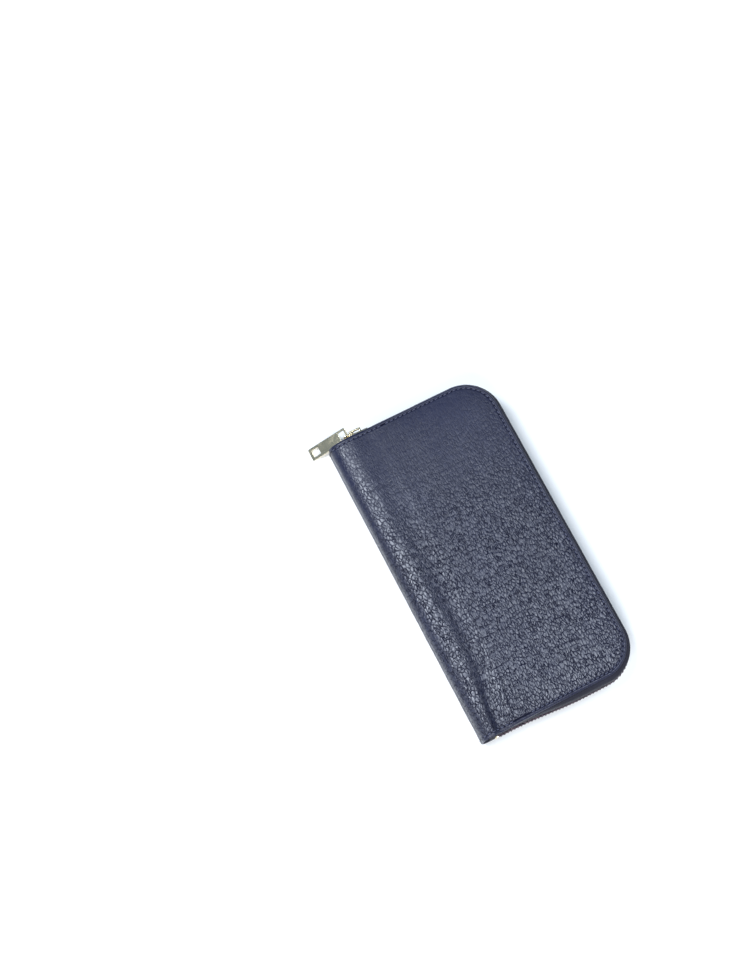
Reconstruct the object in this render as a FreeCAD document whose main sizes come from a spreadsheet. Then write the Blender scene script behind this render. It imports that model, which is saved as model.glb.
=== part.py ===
import FreeCAD, Part
import math
import os

import Sketcher
from FreeCAD import Placement, Rotation, Vector

# A zip-around long wallet, closed, lying on its back cover.
# +X runs from the spine to the zip edge, +Y along the spine to the end where
# the slider stops, +Z up. The origin is the centre of the face it rests on.
# The cover and the coin pocket turn about a line on the outside of the spine,
# at half the wallet's thickness.

DRIVING = [
    # overall
    ("wallet_length", "195"),
    ("wallet_width", "102"),
    ("wallet_thickness", "24"),
    ("corner_radius", "21"),
    # outer leather and its rolled spine
    ("leather", "1.2"),
    ("roll_radius", "7"),
    ("roll_sink", "0.5"),
    ("valley_radius", "2.5"),
    ("valley_from_spine", "13"),
    ("shoulder_radius", "18"),
    # edge stitching
    ("stitch_inset", "2.4"),
    ("stitch_pitch", "3.0"),
    ("stitch_length", "2.3"),
    ("thread", "0.5"),
    ("groove_width", "0.8"),
    ("groove_depth", "0.35"),
    # flat layers inside each cover
    ("board", "0.8"),
    ("lining", "0.4"),
    ("lining_inset", "1.5"),
    ("spine_lining_gap", "0.1"),
    ("slip_panel", "0.6"),
    ("slip_inset", "3"),
    ("pocket_leaf", "0.6"),
    ("pocket_margin", "7"),
    ("pocket_column_gap", "2"),
    ("pocket_mouth_from_edge", "13"),
    ("pocket_step", "10"),
    # main zip
    ("tape", "0.6"),
    ("tape_flange", "7.8"),
    ("tape_start", "5"),
    ("tape_end_height", "4.5"),
    ("tooth_root", "2.2"),
    ("tooth_overlap", "0.6"),
    ("tooth_thickness", "2.4"),
    ("tooth_length", "0.95"),
    ("tooth_pitch", "2.2"),
    ("bottom_stop_from_spine", "8"),
    # main slider, its bail, link and pull tab
    ("slider_from_spine", "16"),
    ("slider_length", "11"),
    ("slider_shoulder", "4.5"),
    ("slider_shoulder_length", "6"),
    ("slider_tail", "3.7"),
    ("slider_plate", "0.9"),
    ("slider_clearance", "0.3"),
    ("flange_reach", "1.0"),
    ("flange_width", "1.0"),
    ("flange_gap", "0.4"),
    ("post_length", "3"),
    ("post_half_width", "1.1"),
    ("stop_width", "0.9"),
    ("stop_setback", "1"),
    ("stop_recess", "0.2"),
    ("stop_gap", "0.2"),
    ("bail_length", "7.5"),
    ("bail_leg", "1.2"),
    ("bail_hole", "2.2"),
    ("bail_bar", "1.0"),
    ("bail_half_width", "1.1"),
    ("link_wire", "1.0"),
    ("link_length", "6.5"),
    ("link_half_width", "2.6"),
    ("link_clearance", "0.3"),
    ("link_play", "0.2"),
    ("link_corner", "1.2"),
    ("link_inner_corner", "0.5"),
    ("tab_length", "26.6"),
    ("tab_width", "7.6"),
    ("tab_thickness", "1.3"),
    ("tab_bar", "1.1"),
    ("tab_window", "4.2"),
    ("tab_offset", "1.9"),
    ("tab_hinge_gap", "1.5"),
    ("tab_far_window", "5"),
    ("tab_far_bar", "1.6"),
    ("tab_far_inset", "0.5"),
    ("tab_corner", "0.6"),
    ("tab_window_corner", "0.4"),
    ("tab_floor_gap", "0.15"),
    # coin pocket in the middle
    ("coin_panel", "0.6"),
    ("coin_lining", "0.2"),
    ("coin_cavity", "4.2"),
    ("coin_end_margin", "9"),
    ("coin_start", "15"),
    ("coin_mouth_from_edge", "13.1"),
    ("coin_wall", "2"),
    ("coin_tape", "0.4"),
    ("coin_tape_flange", "7"),
    ("coin_chain_offset", "2.5"),
    ("coin_root", "1.8"),
    ("coin_overlap", "0.5"),
    ("coin_tooth_thickness", "2.0"),
    ("coin_tooth_length", "0.85"),
    ("coin_tooth_pitch", "2.0"),
    ("coin_slider_length", "9"),
    ("coin_slider_half_width", "2.7"),
    ("coin_slider_end", "3"),
    ("coin_plate", "0.7"),
    ("coin_flange_half_slot", "0.35"),
    ("coin_post_length", "2.6"),
    ("coin_post_half_width", "0.8"),
    ("coin_post_recess", "0.4"),
    ("coin_stop_recess", "0.2"),
    ("coin_stop_gap", "0.3"),
    ("coin_stop_inset", "0.8"),
    ("coin_flange_gap", "0.2"),
    ("coin_plate_corner", "1"),
    ("coin_bail_leg", "1.0"),
    ("coin_bail_gap", "3.0"),
    ("coin_bail_hole", "1.6"),
    ("coin_bail_bar", "0.8"),
    ("coin_bail_half_width", "0.9"),
    ("coin_puller_length", "16"),
    ("coin_puller_thickness", "0.9"),
    ("coin_puller_half_width", "2.5"),
    ("coin_puller_bar", "1.0"),
    ("coin_puller_eye", "3.2"),
    ("coin_puller_corner", "0.8"),
    ("coin_puller_rail", "0.9"),
    ("coin_eye_corner", "0.3"),
    # pleated gussets between the covers and the coin pocket
    ("gusset", "0.35"),
    ("gusset_gap", "0.1"),
    ("gusset_margin", "4.5"),
    ("gusset_depth", "25"),
    ("gusset_end_from_edge", "21"),
    ("gusset_fold", "0.5"),
    ("gusset_root", "2"),
]

doc = FreeCAD.newDocument("zip_around_wallet")
sizes = doc.addObject("Spreadsheet::Sheet", "sizes")
for row, (alias, size) in enumerate(DRIVING, start=1):
    sizes.set(f"A{row}", alias)
    sizes.set(f"B{row}", size)
    sizes.setAlias(f"B{row}", alias)
doc.recompute()


def number(expression):
    """The value of a spreadsheet expression, in millimetres."""
    return float(sizes.evalExpression(str(expression)))


def plus(*terms):
    return "(" + " + ".join(terms) + ")"


def minus(first, *others):
    return "(" + " - ".join((first,) + others) + ")"


# Places that several pieces share.
SPINE = "(-sizes.wallet_width / 2)"
EDGE = "(sizes.wallet_width / 2)"
END = "(sizes.wallet_length / 2)"
TOP = "sizes.wallet_thickness"
MIDDLE = "(sizes.wallet_thickness / 2)"

# The rolled spine: a roll, a valley beside it and a shoulder up to the panel.
ROLL_X = plus(SPINE, "sizes.roll_radius")
ROLL_Z = minus(TOP, "sizes.roll_sink", "sizes.roll_radius")
VALLEY_X = plus(SPINE, "sizes.valley_from_spine")
VALLEY_RISE = (
    "sqrt((sizes.roll_radius + sizes.valley_radius)^2"
    " - (sizes.valley_from_spine - sizes.roll_radius)^2)"
)
VALLEY_Z = plus(ROLL_Z, VALLEY_RISE)
SHOULDER_Z = minus(TOP, "sizes.shoulder_radius")
SHOULDER_RUN = (
    "sqrt((sizes.valley_radius + sizes.shoulder_radius)^2"
    " - (sizes.shoulder_radius - sizes.roll_sink - sizes.roll_radius"
    f" + {VALLEY_RISE})^2)"
)
FLAT_X = plus(VALLEY_X, SHOULDER_RUN)

# How deep each layer lies under the outside of its cover.
UNDER_LEATHER = "sizes.leather"
UNDER_BOARD = plus(UNDER_LEATHER, "sizes.board")
UNDER_LINING = plus(UNDER_BOARD, "sizes.lining")
UNDER_SLIP = plus(UNDER_LINING, "sizes.slip_panel")
UNDER_POCKETS = plus(UNDER_SLIP, "3 * sizes.pocket_leaf")

# The coin pocket's layers, counted from the middle outwards.
COIN_INSIDE = "(sizes.coin_cavity / 2)"
COIN_LINED = plus(COIN_INSIDE, "sizes.coin_lining")
COIN_OUTSIDE = plus(COIN_LINED, "sizes.coin_panel")
COIN_START = plus(SPINE, "sizes.coin_start")
COIN_MOUTH = minus(EDGE, "sizes.coin_mouth_from_edge")
COIN_END = minus(END, "sizes.coin_end_margin")
COIN_CHAIN = plus(COIN_MOUTH, "sizes.coin_chain_offset")

COVERS = ("back", "front")


def height(cover, expression):
    """A height on the front cover, or its mirror image on the back cover."""
    if cover == "front":
        return expression
    return minus(TOP, expression)


def low_face(cover, depth, thickness):
    """The lower face of a layer that lies at a depth in a cover."""
    if cover == "back":
        return depth
    return minus(TOP, depth, thickness)


# ---------------------------------------------------------------- sketch tools


def new_body(label):
    body = doc.addObject("PartDesign::Body", label)
    body.Label = label
    return body


def new_sketch(body, name, plane, offset):
    """A sketch on one of the body's own origin planes, moved along its normal."""
    sketch = body.newObject("Sketcher::SketchObject", name)
    support = [f for f in body.Origin.OriginFeatures if f.Role == plane][0]
    sketch.AttachmentSupport = [(support, "")]
    sketch.MapMode = "FlatFace"
    sketch.setExpression("AttachmentOffset.Base.z", offset)
    return sketch


def hold(sketch, constraint, name, expression):
    """Adds a named dimension that follows an expression."""
    index = sketch.addConstraint(Sketcher.Constraint(*constraint, number(expression)))
    sketch.renameConstraint(index, name)
    sketch.setExpression(f"Constraints.{name}", expression)


def nearest_end(sketch, index, point):
    first = sketch.getPoint(index, 1)
    second = sketch.getPoint(index, 2)
    return 1 if first.distanceToPoint(point) < second.distanceToPoint(point) else 2


def join(sketch, kind, first, second, point):
    """Joins two elements end to end at a point, with or without a tangent."""
    ends = (
        first,
        nearest_end(sketch, first, point),
        second,
        nearest_end(sketch, second, point),
    )
    sketch.addConstraint(Sketcher.Constraint(kind, *ends))


def outline(sketch, corners, name="edge"):
    """A closed outline. Each corner is (x, y) or (x, y, radius).

    Its dimensions follow the corners' expressions.
    """
    count = len(corners)
    points = [Vector(number(c[0]), number(c[1]), 0) for c in corners]
    radii = [number(c[2]) if len(c) > 2 else 0 for c in corners]
    directions = []
    for i in range(count):
        directions.append((points[(i + 1) % count] - points[i]).normalize())
    trims = []
    for i in range(count):
        turn = directions[i - 1].getAngle(directions[i])
        trims.append(radii[i] * math.tan(turn / 2))

    lines = []
    for i in range(count):
        start = points[i] + directions[i] * trims[i]
        finish = points[(i + 1) % count] - directions[i] * trims[(i + 1) % count]
        lines.append(sketch.addGeometry(Part.LineSegment(start, finish), False))

    level = [abs(d.y) < 1e-9 for d in directions]
    upright = [abs(d.x) < 1e-9 for d in directions]
    for i in range(count):
        if level[i]:
            sketch.addConstraint(Sketcher.Constraint("Horizontal", lines[i]))
            at = (lines[i], 1)
            hold(sketch, ("DistanceY", -1, 1) + at, f"{name}_{i}_y", corners[i][1])
        if upright[i]:
            sketch.addConstraint(Sketcher.Constraint("Vertical", lines[i]))
            at = (lines[i], 1)
            hold(sketch, ("DistanceX", -1, 1) + at, f"{name}_{i}_x", corners[i][0])

    for i in range(count):
        before = directions[i - 1]
        after = directions[i]
        if radii[i]:
            inward = (after - before).normalize()
            half = before.getAngle(after) / 2
            centre = points[i] + inward * (radii[i] / math.cos(half))
            a = points[i] - before * trims[i] - centre
            b = points[i] + after * trims[i] - centre
            if a.cross(b).z < 0:
                a, b = b, a
            low = math.atan2(a.y, a.x)
            high = math.atan2(b.y, b.x)
            if high < low:
                high += 2 * math.pi
            circle = Part.Circle(centre, Vector(0, 0, 1), radii[i])
            arc = sketch.addGeometry(Part.ArcOfCircle(circle, low, high), False)
            join(sketch, "Tangent", lines[i - 1], arc, points[i] - before * trims[i])
            join(sketch, "Tangent", arc, lines[i], points[i] + after * trims[i])
            hold(sketch, ("Radius", arc), f"{name}_{i}_radius", corners[i][2])
            continue
        join(sketch, "Coincident", lines[i - 1], lines[i], points[i])
        at = (lines[i], 1)
        if not (upright[i - 1] or upright[i]):
            hold(sketch, ("DistanceX", -1, 1) + at, f"{name}_{i}_px", corners[i][0])
        if not (level[i - 1] or level[i]):
            hold(sketch, ("DistanceY", -1, 1) + at, f"{name}_{i}_py", corners[i][1])


def pad(body, name, sketch, length, both_ways=False):
    feature = body.newObject("PartDesign::Pad", name)
    feature.Profile = sketch
    feature.setExpression("Length", length)
    if both_ways:
        feature.SideType = "Symmetric"
    return feature


def rectangle(x_low, x_high, y_low, y_high):
    return [(x_low, y_low), (x_high, y_low), (x_high, y_high), (x_low, y_high)]


def rounded_rectangle(x_low, x_high, y_low, y_high, radius):
    return [corner + (radius,) for corner in rectangle(x_low, x_high, y_low, y_high)]


def panel(start, inset):
    """The wallet's outline from a line across it to an inset from its zip edge."""
    side = minus(END, inset)
    far = minus(EDGE, inset)
    radius = minus("sizes.corner_radius", inset)
    return [
        (start, f"-{side}"),
        (far, f"-{side}", radius),
        (far, side, radius),
        (start, side),
    ]


def band(start, outer, inner):
    """A strip that follows the three zip sides, between two insets."""
    wide = panel(start, outer)
    narrow = panel(start, inner)
    return wide + narrow[::-1]


def flat_piece(label, corners, low, thickness):
    """A sheet lying flat: an outline on XY at a height, padded upwards."""
    body = new_body(label)
    layer(body, label, corners, low, thickness)
    return body


def layer(body, name, corners, low, thickness):
    sketch = new_sketch(body, f"{name}_outline", "XY_Plane", low)
    outline(sketch, corners)
    return pad(body, f"{name}_pad", sketch, thickness)


def block_along_y(body, name, loops, y_high, length):
    """Outlines in X and Z, padded from y_high towards -Y."""
    sketch = new_sketch(body, f"{name}_outline", "XZ_Plane", f"-{y_high}")
    for n, corners in enumerate(loops):
        outline(sketch, corners, f"loop{n}")
    return pad(body, f"{name}_pad", sketch, length)


def block_along_x(body, name, loops, x_low, length):
    """Outlines in Y and Z, padded from x_low towards +X."""
    sketch = new_sketch(body, f"{name}_outline", "YZ_Plane", x_low)
    for n, corners in enumerate(loops):
        outline(sketch, corners, f"loop{n}")
    return pad(body, f"{name}_pad", sketch, length)


pieces = []


def keep(piece, label):
    piece.Label = label
    pieces.append(piece)
    return piece


# -------------------------------------------------------------- outer leather


def arc_between(sketch, centre, radius, first, second):
    """An arc the short way round from one point to another."""
    a = math.atan2(first.y - centre.y, first.x - centre.x)
    b = math.atan2(second.y - centre.y, second.x - centre.x)
    if (b - a) % (2 * math.pi) > math.pi:
        a, b = b, a
    if b < a:
        b += 2 * math.pi
    circle = Part.Circle(centre, Vector(0, 0, 1), radius)
    return sketch.addGeometry(Part.ArcOfCircle(circle, a, b), False)


def cover_profile(cover):
    """The outside of a cover seen along the spine: roll, valley, shoulder, panel."""
    sketch = doc.addObject("Sketcher::SketchObject", f"{cover}_profile")
    sketch.Placement = Placement(Vector(0, 0, 0), Rotation(Vector(1, 0, 0), 90))

    def place(x, z):
        return Vector(number(x), number(height(cover, z)), 0)

    roll = place(ROLL_X, ROLL_Z)
    valley = place(VALLEY_X, VALLEY_Z)
    shoulder = place(FLAT_X, SHOULDER_Z)
    roll_radius = number("sizes.roll_radius")
    valley_radius = number("sizes.valley_radius")
    shoulder_radius = number("sizes.shoulder_radius")
    ends = [
        place(SPINE, MIDDLE),
        place(SPINE, ROLL_Z),
        roll + (valley - roll).normalize() * roll_radius,
        valley + (shoulder - valley).normalize() * valley_radius,
        place(FLAT_X, TOP),
        place(EDGE, TOP),
    ]
    line = sketch.addGeometry(Part.LineSegment(ends[0], ends[1]), False)
    arcs = [
        arc_between(sketch, roll, roll_radius, ends[1], ends[2]),
        arc_between(sketch, valley, valley_radius, ends[2], ends[3]),
        arc_between(sketch, shoulder, shoulder_radius, ends[3], ends[4]),
    ]
    flat = sketch.addGeometry(Part.LineSegment(ends[4], ends[5]), False)
    chain = [line] + arcs + [flat]
    for i in range(4):
        join(sketch, "Tangent", chain[i], chain[i + 1], ends[i + 1])
    sketch.addConstraint(Sketcher.Constraint("Vertical", line))
    sketch.addConstraint(Sketcher.Constraint("Horizontal", flat))
    hold(sketch, ("DistanceX", -1, 1, line, 1), "spine_x", SPINE)
    hold(sketch, ("DistanceY", -1, 1, line, 1), "hinge_z", height(cover, MIDDLE))
    hold(sketch, ("DistanceX", -1, 1, flat, 2), "edge_x", EDGE)
    hold(sketch, ("DistanceY", -1, 1, flat, 2), "panel_z", height(cover, TOP))
    hold(sketch, ("Radius", arcs[0]), "roll_radius", "sizes.roll_radius")
    hold(sketch, ("Radius", arcs[1]), "valley_radius", "sizes.valley_radius")
    hold(sketch, ("Radius", arcs[2]), "shoulder_radius", "sizes.shoulder_radius")
    hold(sketch, ("DistanceY", -1, 1, arcs[0], 3), "roll_z", height(cover, ROLL_Z))
    hold(sketch, ("DistanceX", -1, 1, arcs[1], 3), "valley_x", VALLEY_X)
    return sketch


def skin(name, profile, thickness, length):
    """A bent sheet: a profile given a thickness, drawn out along the spine.

    The thickness is positive to the right of the way the profile runs.
    """
    section = doc.addObject("Part::Offset2D", f"{name}_section")
    section.Source = profile
    section.Mode = "Skin"
    section.Join = "Arc"
    section.Fill = True
    section.setExpression("Value", thickness)
    sheet = doc.addObject("Part::Extrusion", f"{name}_sheet")
    sheet.Base = section
    sheet.DirMode = "Custom"
    sheet.Dir = Vector(0, 1, 0)
    sheet.Symmetric = True
    sheet.Solid = True
    sheet.setExpression("LengthFwd", length)
    return sheet


def cover_leather(cover, outline_block):
    """The outer leather of one cover, with half of the spine and a stitch groove."""
    inward = "-sizes.leather" if cover == "front" else "sizes.leather"
    sheet = skin(cover, cover_profile(cover), inward, "sizes.wallet_length")
    shaped = doc.addObject("Part::Common", f"{cover}_shaped")
    shaped.Base = sheet
    shaped.Tool = outline_block
    groove = new_body(f"{cover}_groove")
    half = "sizes.groove_width / 2"
    strip = band(FLAT_X, f"(sizes.stitch_inset - {half})", f"(sizes.stitch_inset + {half})")
    depth = "(2 * sizes.groove_depth)"
    low = minus(TOP, "sizes.groove_depth") if cover == "front" else "-sizes.groove_depth"
    layer(groove, f"{cover}_groove", strip, low, depth)
    leather = doc.addObject("Part::Cut", f"{cover}_leather_cut")
    leather.Base = shaped
    leather.Tool = groove
    return keep(leather, f"{cover}_leather")


# ------------------------------------------------- what follows the zip sides


class Rim:
    """The path round the three zip sides, at an inset from the edge."""

    def __init__(self, inset, start_low, start_high):
        self.radius = number(minus("sizes.corner_radius", inset))
        self.edge = number(minus(EDGE, inset))
        self.end = number(minus(END, inset))
        self.start_low = number(start_low)
        self.turn = self.edge - self.radius
        self.short_low = self.turn - self.start_low
        self.short_high = self.turn - number(start_high)
        self.arc = self.radius * math.pi / 2
        self.long = 2 * (self.end - self.radius)
        self.length = self.short_low + self.short_high + 2 * self.arc + self.long

    def at(self, distance):
        """The point at a distance along the path, and the way the path heads."""
        if distance < self.short_low:
            return Vector(self.start_low + distance, -self.end, 0), 0
        distance -= self.short_low
        if distance < self.arc:
            angle = distance / self.radius
            x = self.turn + self.radius * math.sin(angle)
            y = -self.end + self.radius * (1 - math.cos(angle))
            return Vector(x, y, 0), math.degrees(angle)
        distance -= self.arc
        if distance < self.long:
            return Vector(self.edge, -self.end + self.radius + distance, 0), 90
        distance -= self.long
        if distance < self.arc:
            angle = distance / self.radius
            x = self.turn + self.radius * math.cos(angle)
            y = self.end - self.radius * (1 - math.sin(angle))
            return Vector(x, y, 0), 90 + math.degrees(angle)
        return Vector(self.turn - (distance - self.arc), self.end, 0), 180


def small_blocks(label, path, pitch, first, size, low):
    """A row of separate equal blocks along a path, each turned to follow it."""
    along, across, tall = size
    blocks = []
    distance = first
    while distance + along / 2 <= path.length:
        point, heading = path.at(distance)
        block = Part.makeBox(along, across, tall, Vector(-along / 2, -across / 2, low))
        block.Placement = Placement(point, Rotation(Vector(0, 0, 1), heading))
        blocks.append(block)
        distance += pitch
    row = doc.addObject("Part::Feature", label)
    row.Shape = Part.makeCompound(blocks)
    return keep(row, label)


def cover_stitching(cover):
    path = Rim("sizes.stitch_inset", FLAT_X, FLAT_X)
    size = [number(f"sizes.{name}") for name in ("stitch_length", "thread")]
    tall = number("sizes.groove_depth - 0.05")
    low = number(minus(TOP, "sizes.groove_depth")) if cover == "front" else 0.05
    pitch = number("sizes.stitch_pitch")
    small_blocks(f"{cover}_stitching", path, pitch, pitch, size + [tall], low)


def zip_tape(cover):
    """Half of the zip's tape: a flange under the cover and a wall to the teeth."""
    label = f"{cover}_zip_tape"
    body = new_body(label)
    start = plus(SPINE, "sizes.tape_start")
    half = "(sizes.tape / 2)"
    low = low_face(cover, UNDER_LEATHER, "sizes.tape")
    layer(body, f"{label}_flange", band(FLAT_X, f"-{half}", "sizes.tape_flange"), low, "sizes.tape")
    full = minus(MIDDLE, "sizes.tooth_root", UNDER_LEATHER)
    low = UNDER_LEATHER if cover == "back" else plus(MIDDLE, "sizes.tooth_root")
    layer(body, f"{label}_wall", band(FLAT_X, f"-{half}", half), low, full)
    low = plus(MIDDLE, "sizes.tooth_root")
    if cover == "back":
        low = minus(MIDDLE, "sizes.tooth_root", "sizes.tape_end_height")
    end = "sizes.tape_end_height"
    layer(body, f"{label}_ends", band(start, f"-{half}", half), low, end)
    return keep(body, label)


SLIDER_X = plus(SPINE, "sizes.slider_from_spine")
TEETH_START = plus(SPINE, "sizes.bottom_stop_from_spine", "sizes.tooth_pitch")
TEETH_FINISH = plus(SLIDER_X, "sizes.post_length", "sizes.slider_clearance")


def zip_teeth(cover):
    """One row of teeth. The two rows mesh, half a pitch apart."""
    path = Rim("0", TEETH_START, TEETH_FINISH)
    pitch = number("sizes.tooth_pitch")
    first = number("sizes.tooth_length / 2")
    if cover == "front":
        first += pitch / 2
    tall = number("sizes.tooth_root + sizes.tooth_overlap")
    low = number(minus(MIDDLE, "sizes.tooth_root"))
    if cover == "front":
        low = number(minus(MIDDLE, "sizes.tooth_overlap"))
    size = [number("sizes.tooth_length"), number("sizes.tooth_thickness"), tall]
    small_blocks(f"{cover}_zip_teeth", path, pitch, first, size, low)


# ------------------------------------------------------- inside of each cover


def cover_inside(cover):
    """The board, lining, slip panel and card pockets of one cover."""
    edge = plus("sizes.tape_flange", "0.8")
    low = low_face(cover, UNDER_LEATHER, "sizes.board")
    board = flat_piece(f"{cover}_board", panel(plus(FLAT_X, "1"), edge), low, "sizes.board")
    keep(board, f"{cover}_board")

    start = minus(FLAT_X, "2")
    low = low_face(cover, UNDER_BOARD, "sizes.lining")
    lining = flat_piece(f"{cover}_lining", panel(start, "sizes.lining_inset"), low, "sizes.lining")
    keep(lining, f"{cover}_lining")

    low = low_face(cover, UNDER_LINING, "sizes.slip_panel")
    slip = flat_piece(f"{cover}_slip_panel", panel(start, "sizes.slip_inset"), low, "sizes.slip_panel")
    keep(slip, f"{cover}_slip_panel")

    gap = "(sizes.pocket_column_gap / 2)"
    far = minus(END, "sizes.pocket_margin")
    columns = {"lower": (f"-{far}", f"-{gap}"), "upper": (gap, far)}
    for n in range(3):
        depth = plus(UNDER_SLIP, f"{n} * sizes.pocket_leaf")
        low = low_face(cover, depth, "sizes.pocket_leaf")
        mouth = minus(EDGE, "sizes.pocket_mouth_from_edge", f"{n} * sizes.pocket_step")
        for column, (y_low, y_high) in columns.items():
            label = f"{cover}_card_pocket_{column}_{n + 1}"
            corners = rectangle(plus(FLAT_X, "1"), mouth, y_low, y_high)
            keep(flat_piece(label, corners, low, "sizes.pocket_leaf"), label)


def spine_lining():
    """The lining inside the rolled spine, a C seen along the spine."""
    sketch = doc.addObject("Sketcher::SketchObject", "spine_lining_profile")
    sketch.Placement = Placement(Vector(0, 0, 0), Rotation(Vector(1, 0, 0), 90))
    radius = minus("sizes.roll_radius", "sizes.leather", "sizes.spine_lining_gap")
    wall = minus(ROLL_X, radius)
    top = Vector(number(ROLL_X), number(ROLL_Z), 0)
    low = Vector(number(ROLL_X), number(height("back", ROLL_Z)), 0)
    size = number(radius)
    upper = arc_between(sketch, top, size, top + Vector(0, size, 0), top - Vector(size, 0, 0))
    straight = Part.LineSegment(top - Vector(size, 0, 0), low - Vector(size, 0, 0))
    straight = sketch.addGeometry(straight, False)
    lower = arc_between(sketch, low, size, low - Vector(size, 0, 0), low - Vector(0, size, 0))
    join(sketch, "Tangent", upper, straight, top - Vector(size, 0, 0))
    join(sketch, "Tangent", straight, lower, low - Vector(size, 0, 0))
    sketch.addConstraint(Sketcher.Constraint("Vertical", straight))
    sketch.addConstraint(Sketcher.Constraint("Vertical", upper, 3, upper, 1))
    sketch.addConstraint(Sketcher.Constraint("Vertical", lower, 3, lower, 2))
    hold(sketch, ("Radius", upper), "upper_radius", radius)
    hold(sketch, ("Radius", lower), "lower_radius", radius)
    hold(sketch, ("DistanceX", -1, 1, straight, 1), "wall_x", wall)
    hold(sketch, ("DistanceY", -1, 1, upper, 3), "upper_z", ROLL_Z)
    hold(sketch, ("DistanceY", -1, 1, lower, 3), "lower_z", height("back", ROLL_Z))
    length = "(sizes.wallet_length - 2 * sizes.slip_inset)"
    return keep(skin("spine_lining", sketch, "sizes.lining", length), "spine_lining")


def gusset(cover, end):
    """A pleat between a cover and the coin pocket, folded flat.

    Two triangular leaves, one on each side, meet along a slanting fold.
    """
    label = f"{cover}_gusset_{end}"
    sign = "" if end == "top" else "-"
    side = minus(END, "sizes.gusset_margin")
    deep = minus(side, "sizes.gusset_depth")
    near = minus(FLAT_X, "sizes.gusset_root")
    far = minus(EDGE, "sizes.gusset_end_from_edge")
    leaf = [(near, f"{sign}{side}"), (far, f"{sign}{side}"), (far, f"{sign}{deep}")]
    fold_side = minus(side, "sizes.gusset_fold")
    fold_deep = minus(deep, "sizes.gusset_fold")
    fold = [
        (near, f"{sign}{side}"),
        (far, f"{sign}{deep}"),
        (far, f"{sign}{fold_deep}"),
        (near, f"{sign}{fold_side}"),
    ]
    on_cover = plus(UNDER_POCKETS, "sizes.gusset_gap")
    on_coin = minus(MIDDLE, COIN_OUTSIDE, "sizes.gusset_gap", "sizes.gusset")
    between = minus(plus(on_coin, "sizes.gusset"), on_cover)
    body = new_body(label)
    low = low_face(cover, on_cover, "sizes.gusset")
    layer(body, f"{label}_cover_leaf", leaf, low, "sizes.gusset")
    low = low_face(cover, on_coin, "sizes.gusset")
    layer(body, f"{label}_coin_leaf", leaf, low, "sizes.gusset")
    low = low_face(cover, on_cover, between)
    layer(body, f"{label}_fold", fold, low, between)
    return keep(body, label)


# ------------------------------------------- main slider, bail, link and tab

CHAIN_HALF = "(sizes.tooth_thickness / 2)"
INNER_FACE = plus(CHAIN_HALF, "sizes.slider_clearance")
OUTER_FACE = plus(INNER_FACE, "sizes.slider_plate")
PLATE_Y = plus(END, OUTER_FACE)


def main_slider():
    """Two tapered plates with inturned flanges, joined by a post at the mouth."""
    body = new_body("slider_body")
    finish = plus(SLIDER_X, "sizes.slider_length")
    waist = plus(SLIDER_X, "sizes.slider_shoulder_length")
    plate = [
        (SLIDER_X, minus(MIDDLE, "sizes.slider_shoulder")),
        (waist, minus(MIDDLE, "sizes.slider_shoulder")),
        (finish, minus(MIDDLE, "sizes.slider_tail")),
        (finish, plus(MIDDLE, "sizes.slider_tail")),
        (waist, plus(MIDDLE, "sizes.slider_shoulder")),
        (SLIDER_X, plus(MIDDLE, "sizes.slider_shoulder")),
    ]
    post = rectangle(
        SLIDER_X,
        plus(SLIDER_X, "sizes.post_length"),
        minus(MIDDLE, "sizes.post_half_width"),
        plus(MIDDLE, "sizes.post_half_width"),
    )
    block_along_y(body, "inner_plate", [plate], minus(END, INNER_FACE), "sizes.slider_plate")
    block_along_y(body, "post", [post], PLATE_Y, f"(2 * {OUTER_FACE})")
    block_along_y(body, "outer_plate", [plate], PLATE_Y, "sizes.slider_plate")
    near = plus("sizes.tooth_root", "sizes.flange_gap")
    wide = plus(near, "sizes.flange_width")
    for side in ("upper", "lower"):
        if side == "upper":
            z_low, z_high = plus(MIDDLE, near), plus(MIDDLE, wide)
        else:
            z_low, z_high = minus(MIDDLE, wide), minus(MIDDLE, near)
        rim = rectangle(SLIDER_X, finish, z_low, z_high)
        outer = plus(END, INNER_FACE)
        block_along_y(body, f"{side}_outer_flange", [rim], outer, "sizes.flange_reach")
        inner = plus(minus(END, INNER_FACE), "sizes.flange_reach")
        block_along_y(body, f"{side}_inner_flange", [rim], inner, "sizes.flange_reach")
    return keep(body, "slider_body")


def slider_bail():
    """The arch on the slider's outer plate that carries the link."""
    body = new_body("slider_bail")
    inner_near = plus(SLIDER_X, "sizes.bail_leg")
    inner_far = plus(SLIDER_X, "sizes.bail_length - sizes.bail_leg")
    far = plus(SLIDER_X, "sizes.bail_length")
    under = plus(PLATE_Y, "sizes.bail_hole")
    over = plus(under, "sizes.bail_bar")
    arch = [
        (SLIDER_X, PLATE_Y),
        (inner_near, PLATE_Y),
        (inner_near, under),
        (inner_far, under),
        (inner_far, PLATE_Y),
        (far, PLATE_Y),
        (far, over),
        (SLIDER_X, over),
    ]
    low = minus(MIDDLE, "sizes.bail_half_width")
    layer(body, "slider_bail", arch, low, "(2 * sizes.bail_half_width)")
    return keep(body, "slider_bail")


LINK_Y = plus(PLATE_Y, "sizes.bail_hole / 2", "sizes.link_play")
LINK_AXIS_X = plus(SLIDER_X, "sizes.bail_leg", "sizes.link_clearance", "sizes.link_wire / 2")
TAB_AXIS_X = minus(SLIDER_X, "sizes.tab_hinge_gap")


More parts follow.
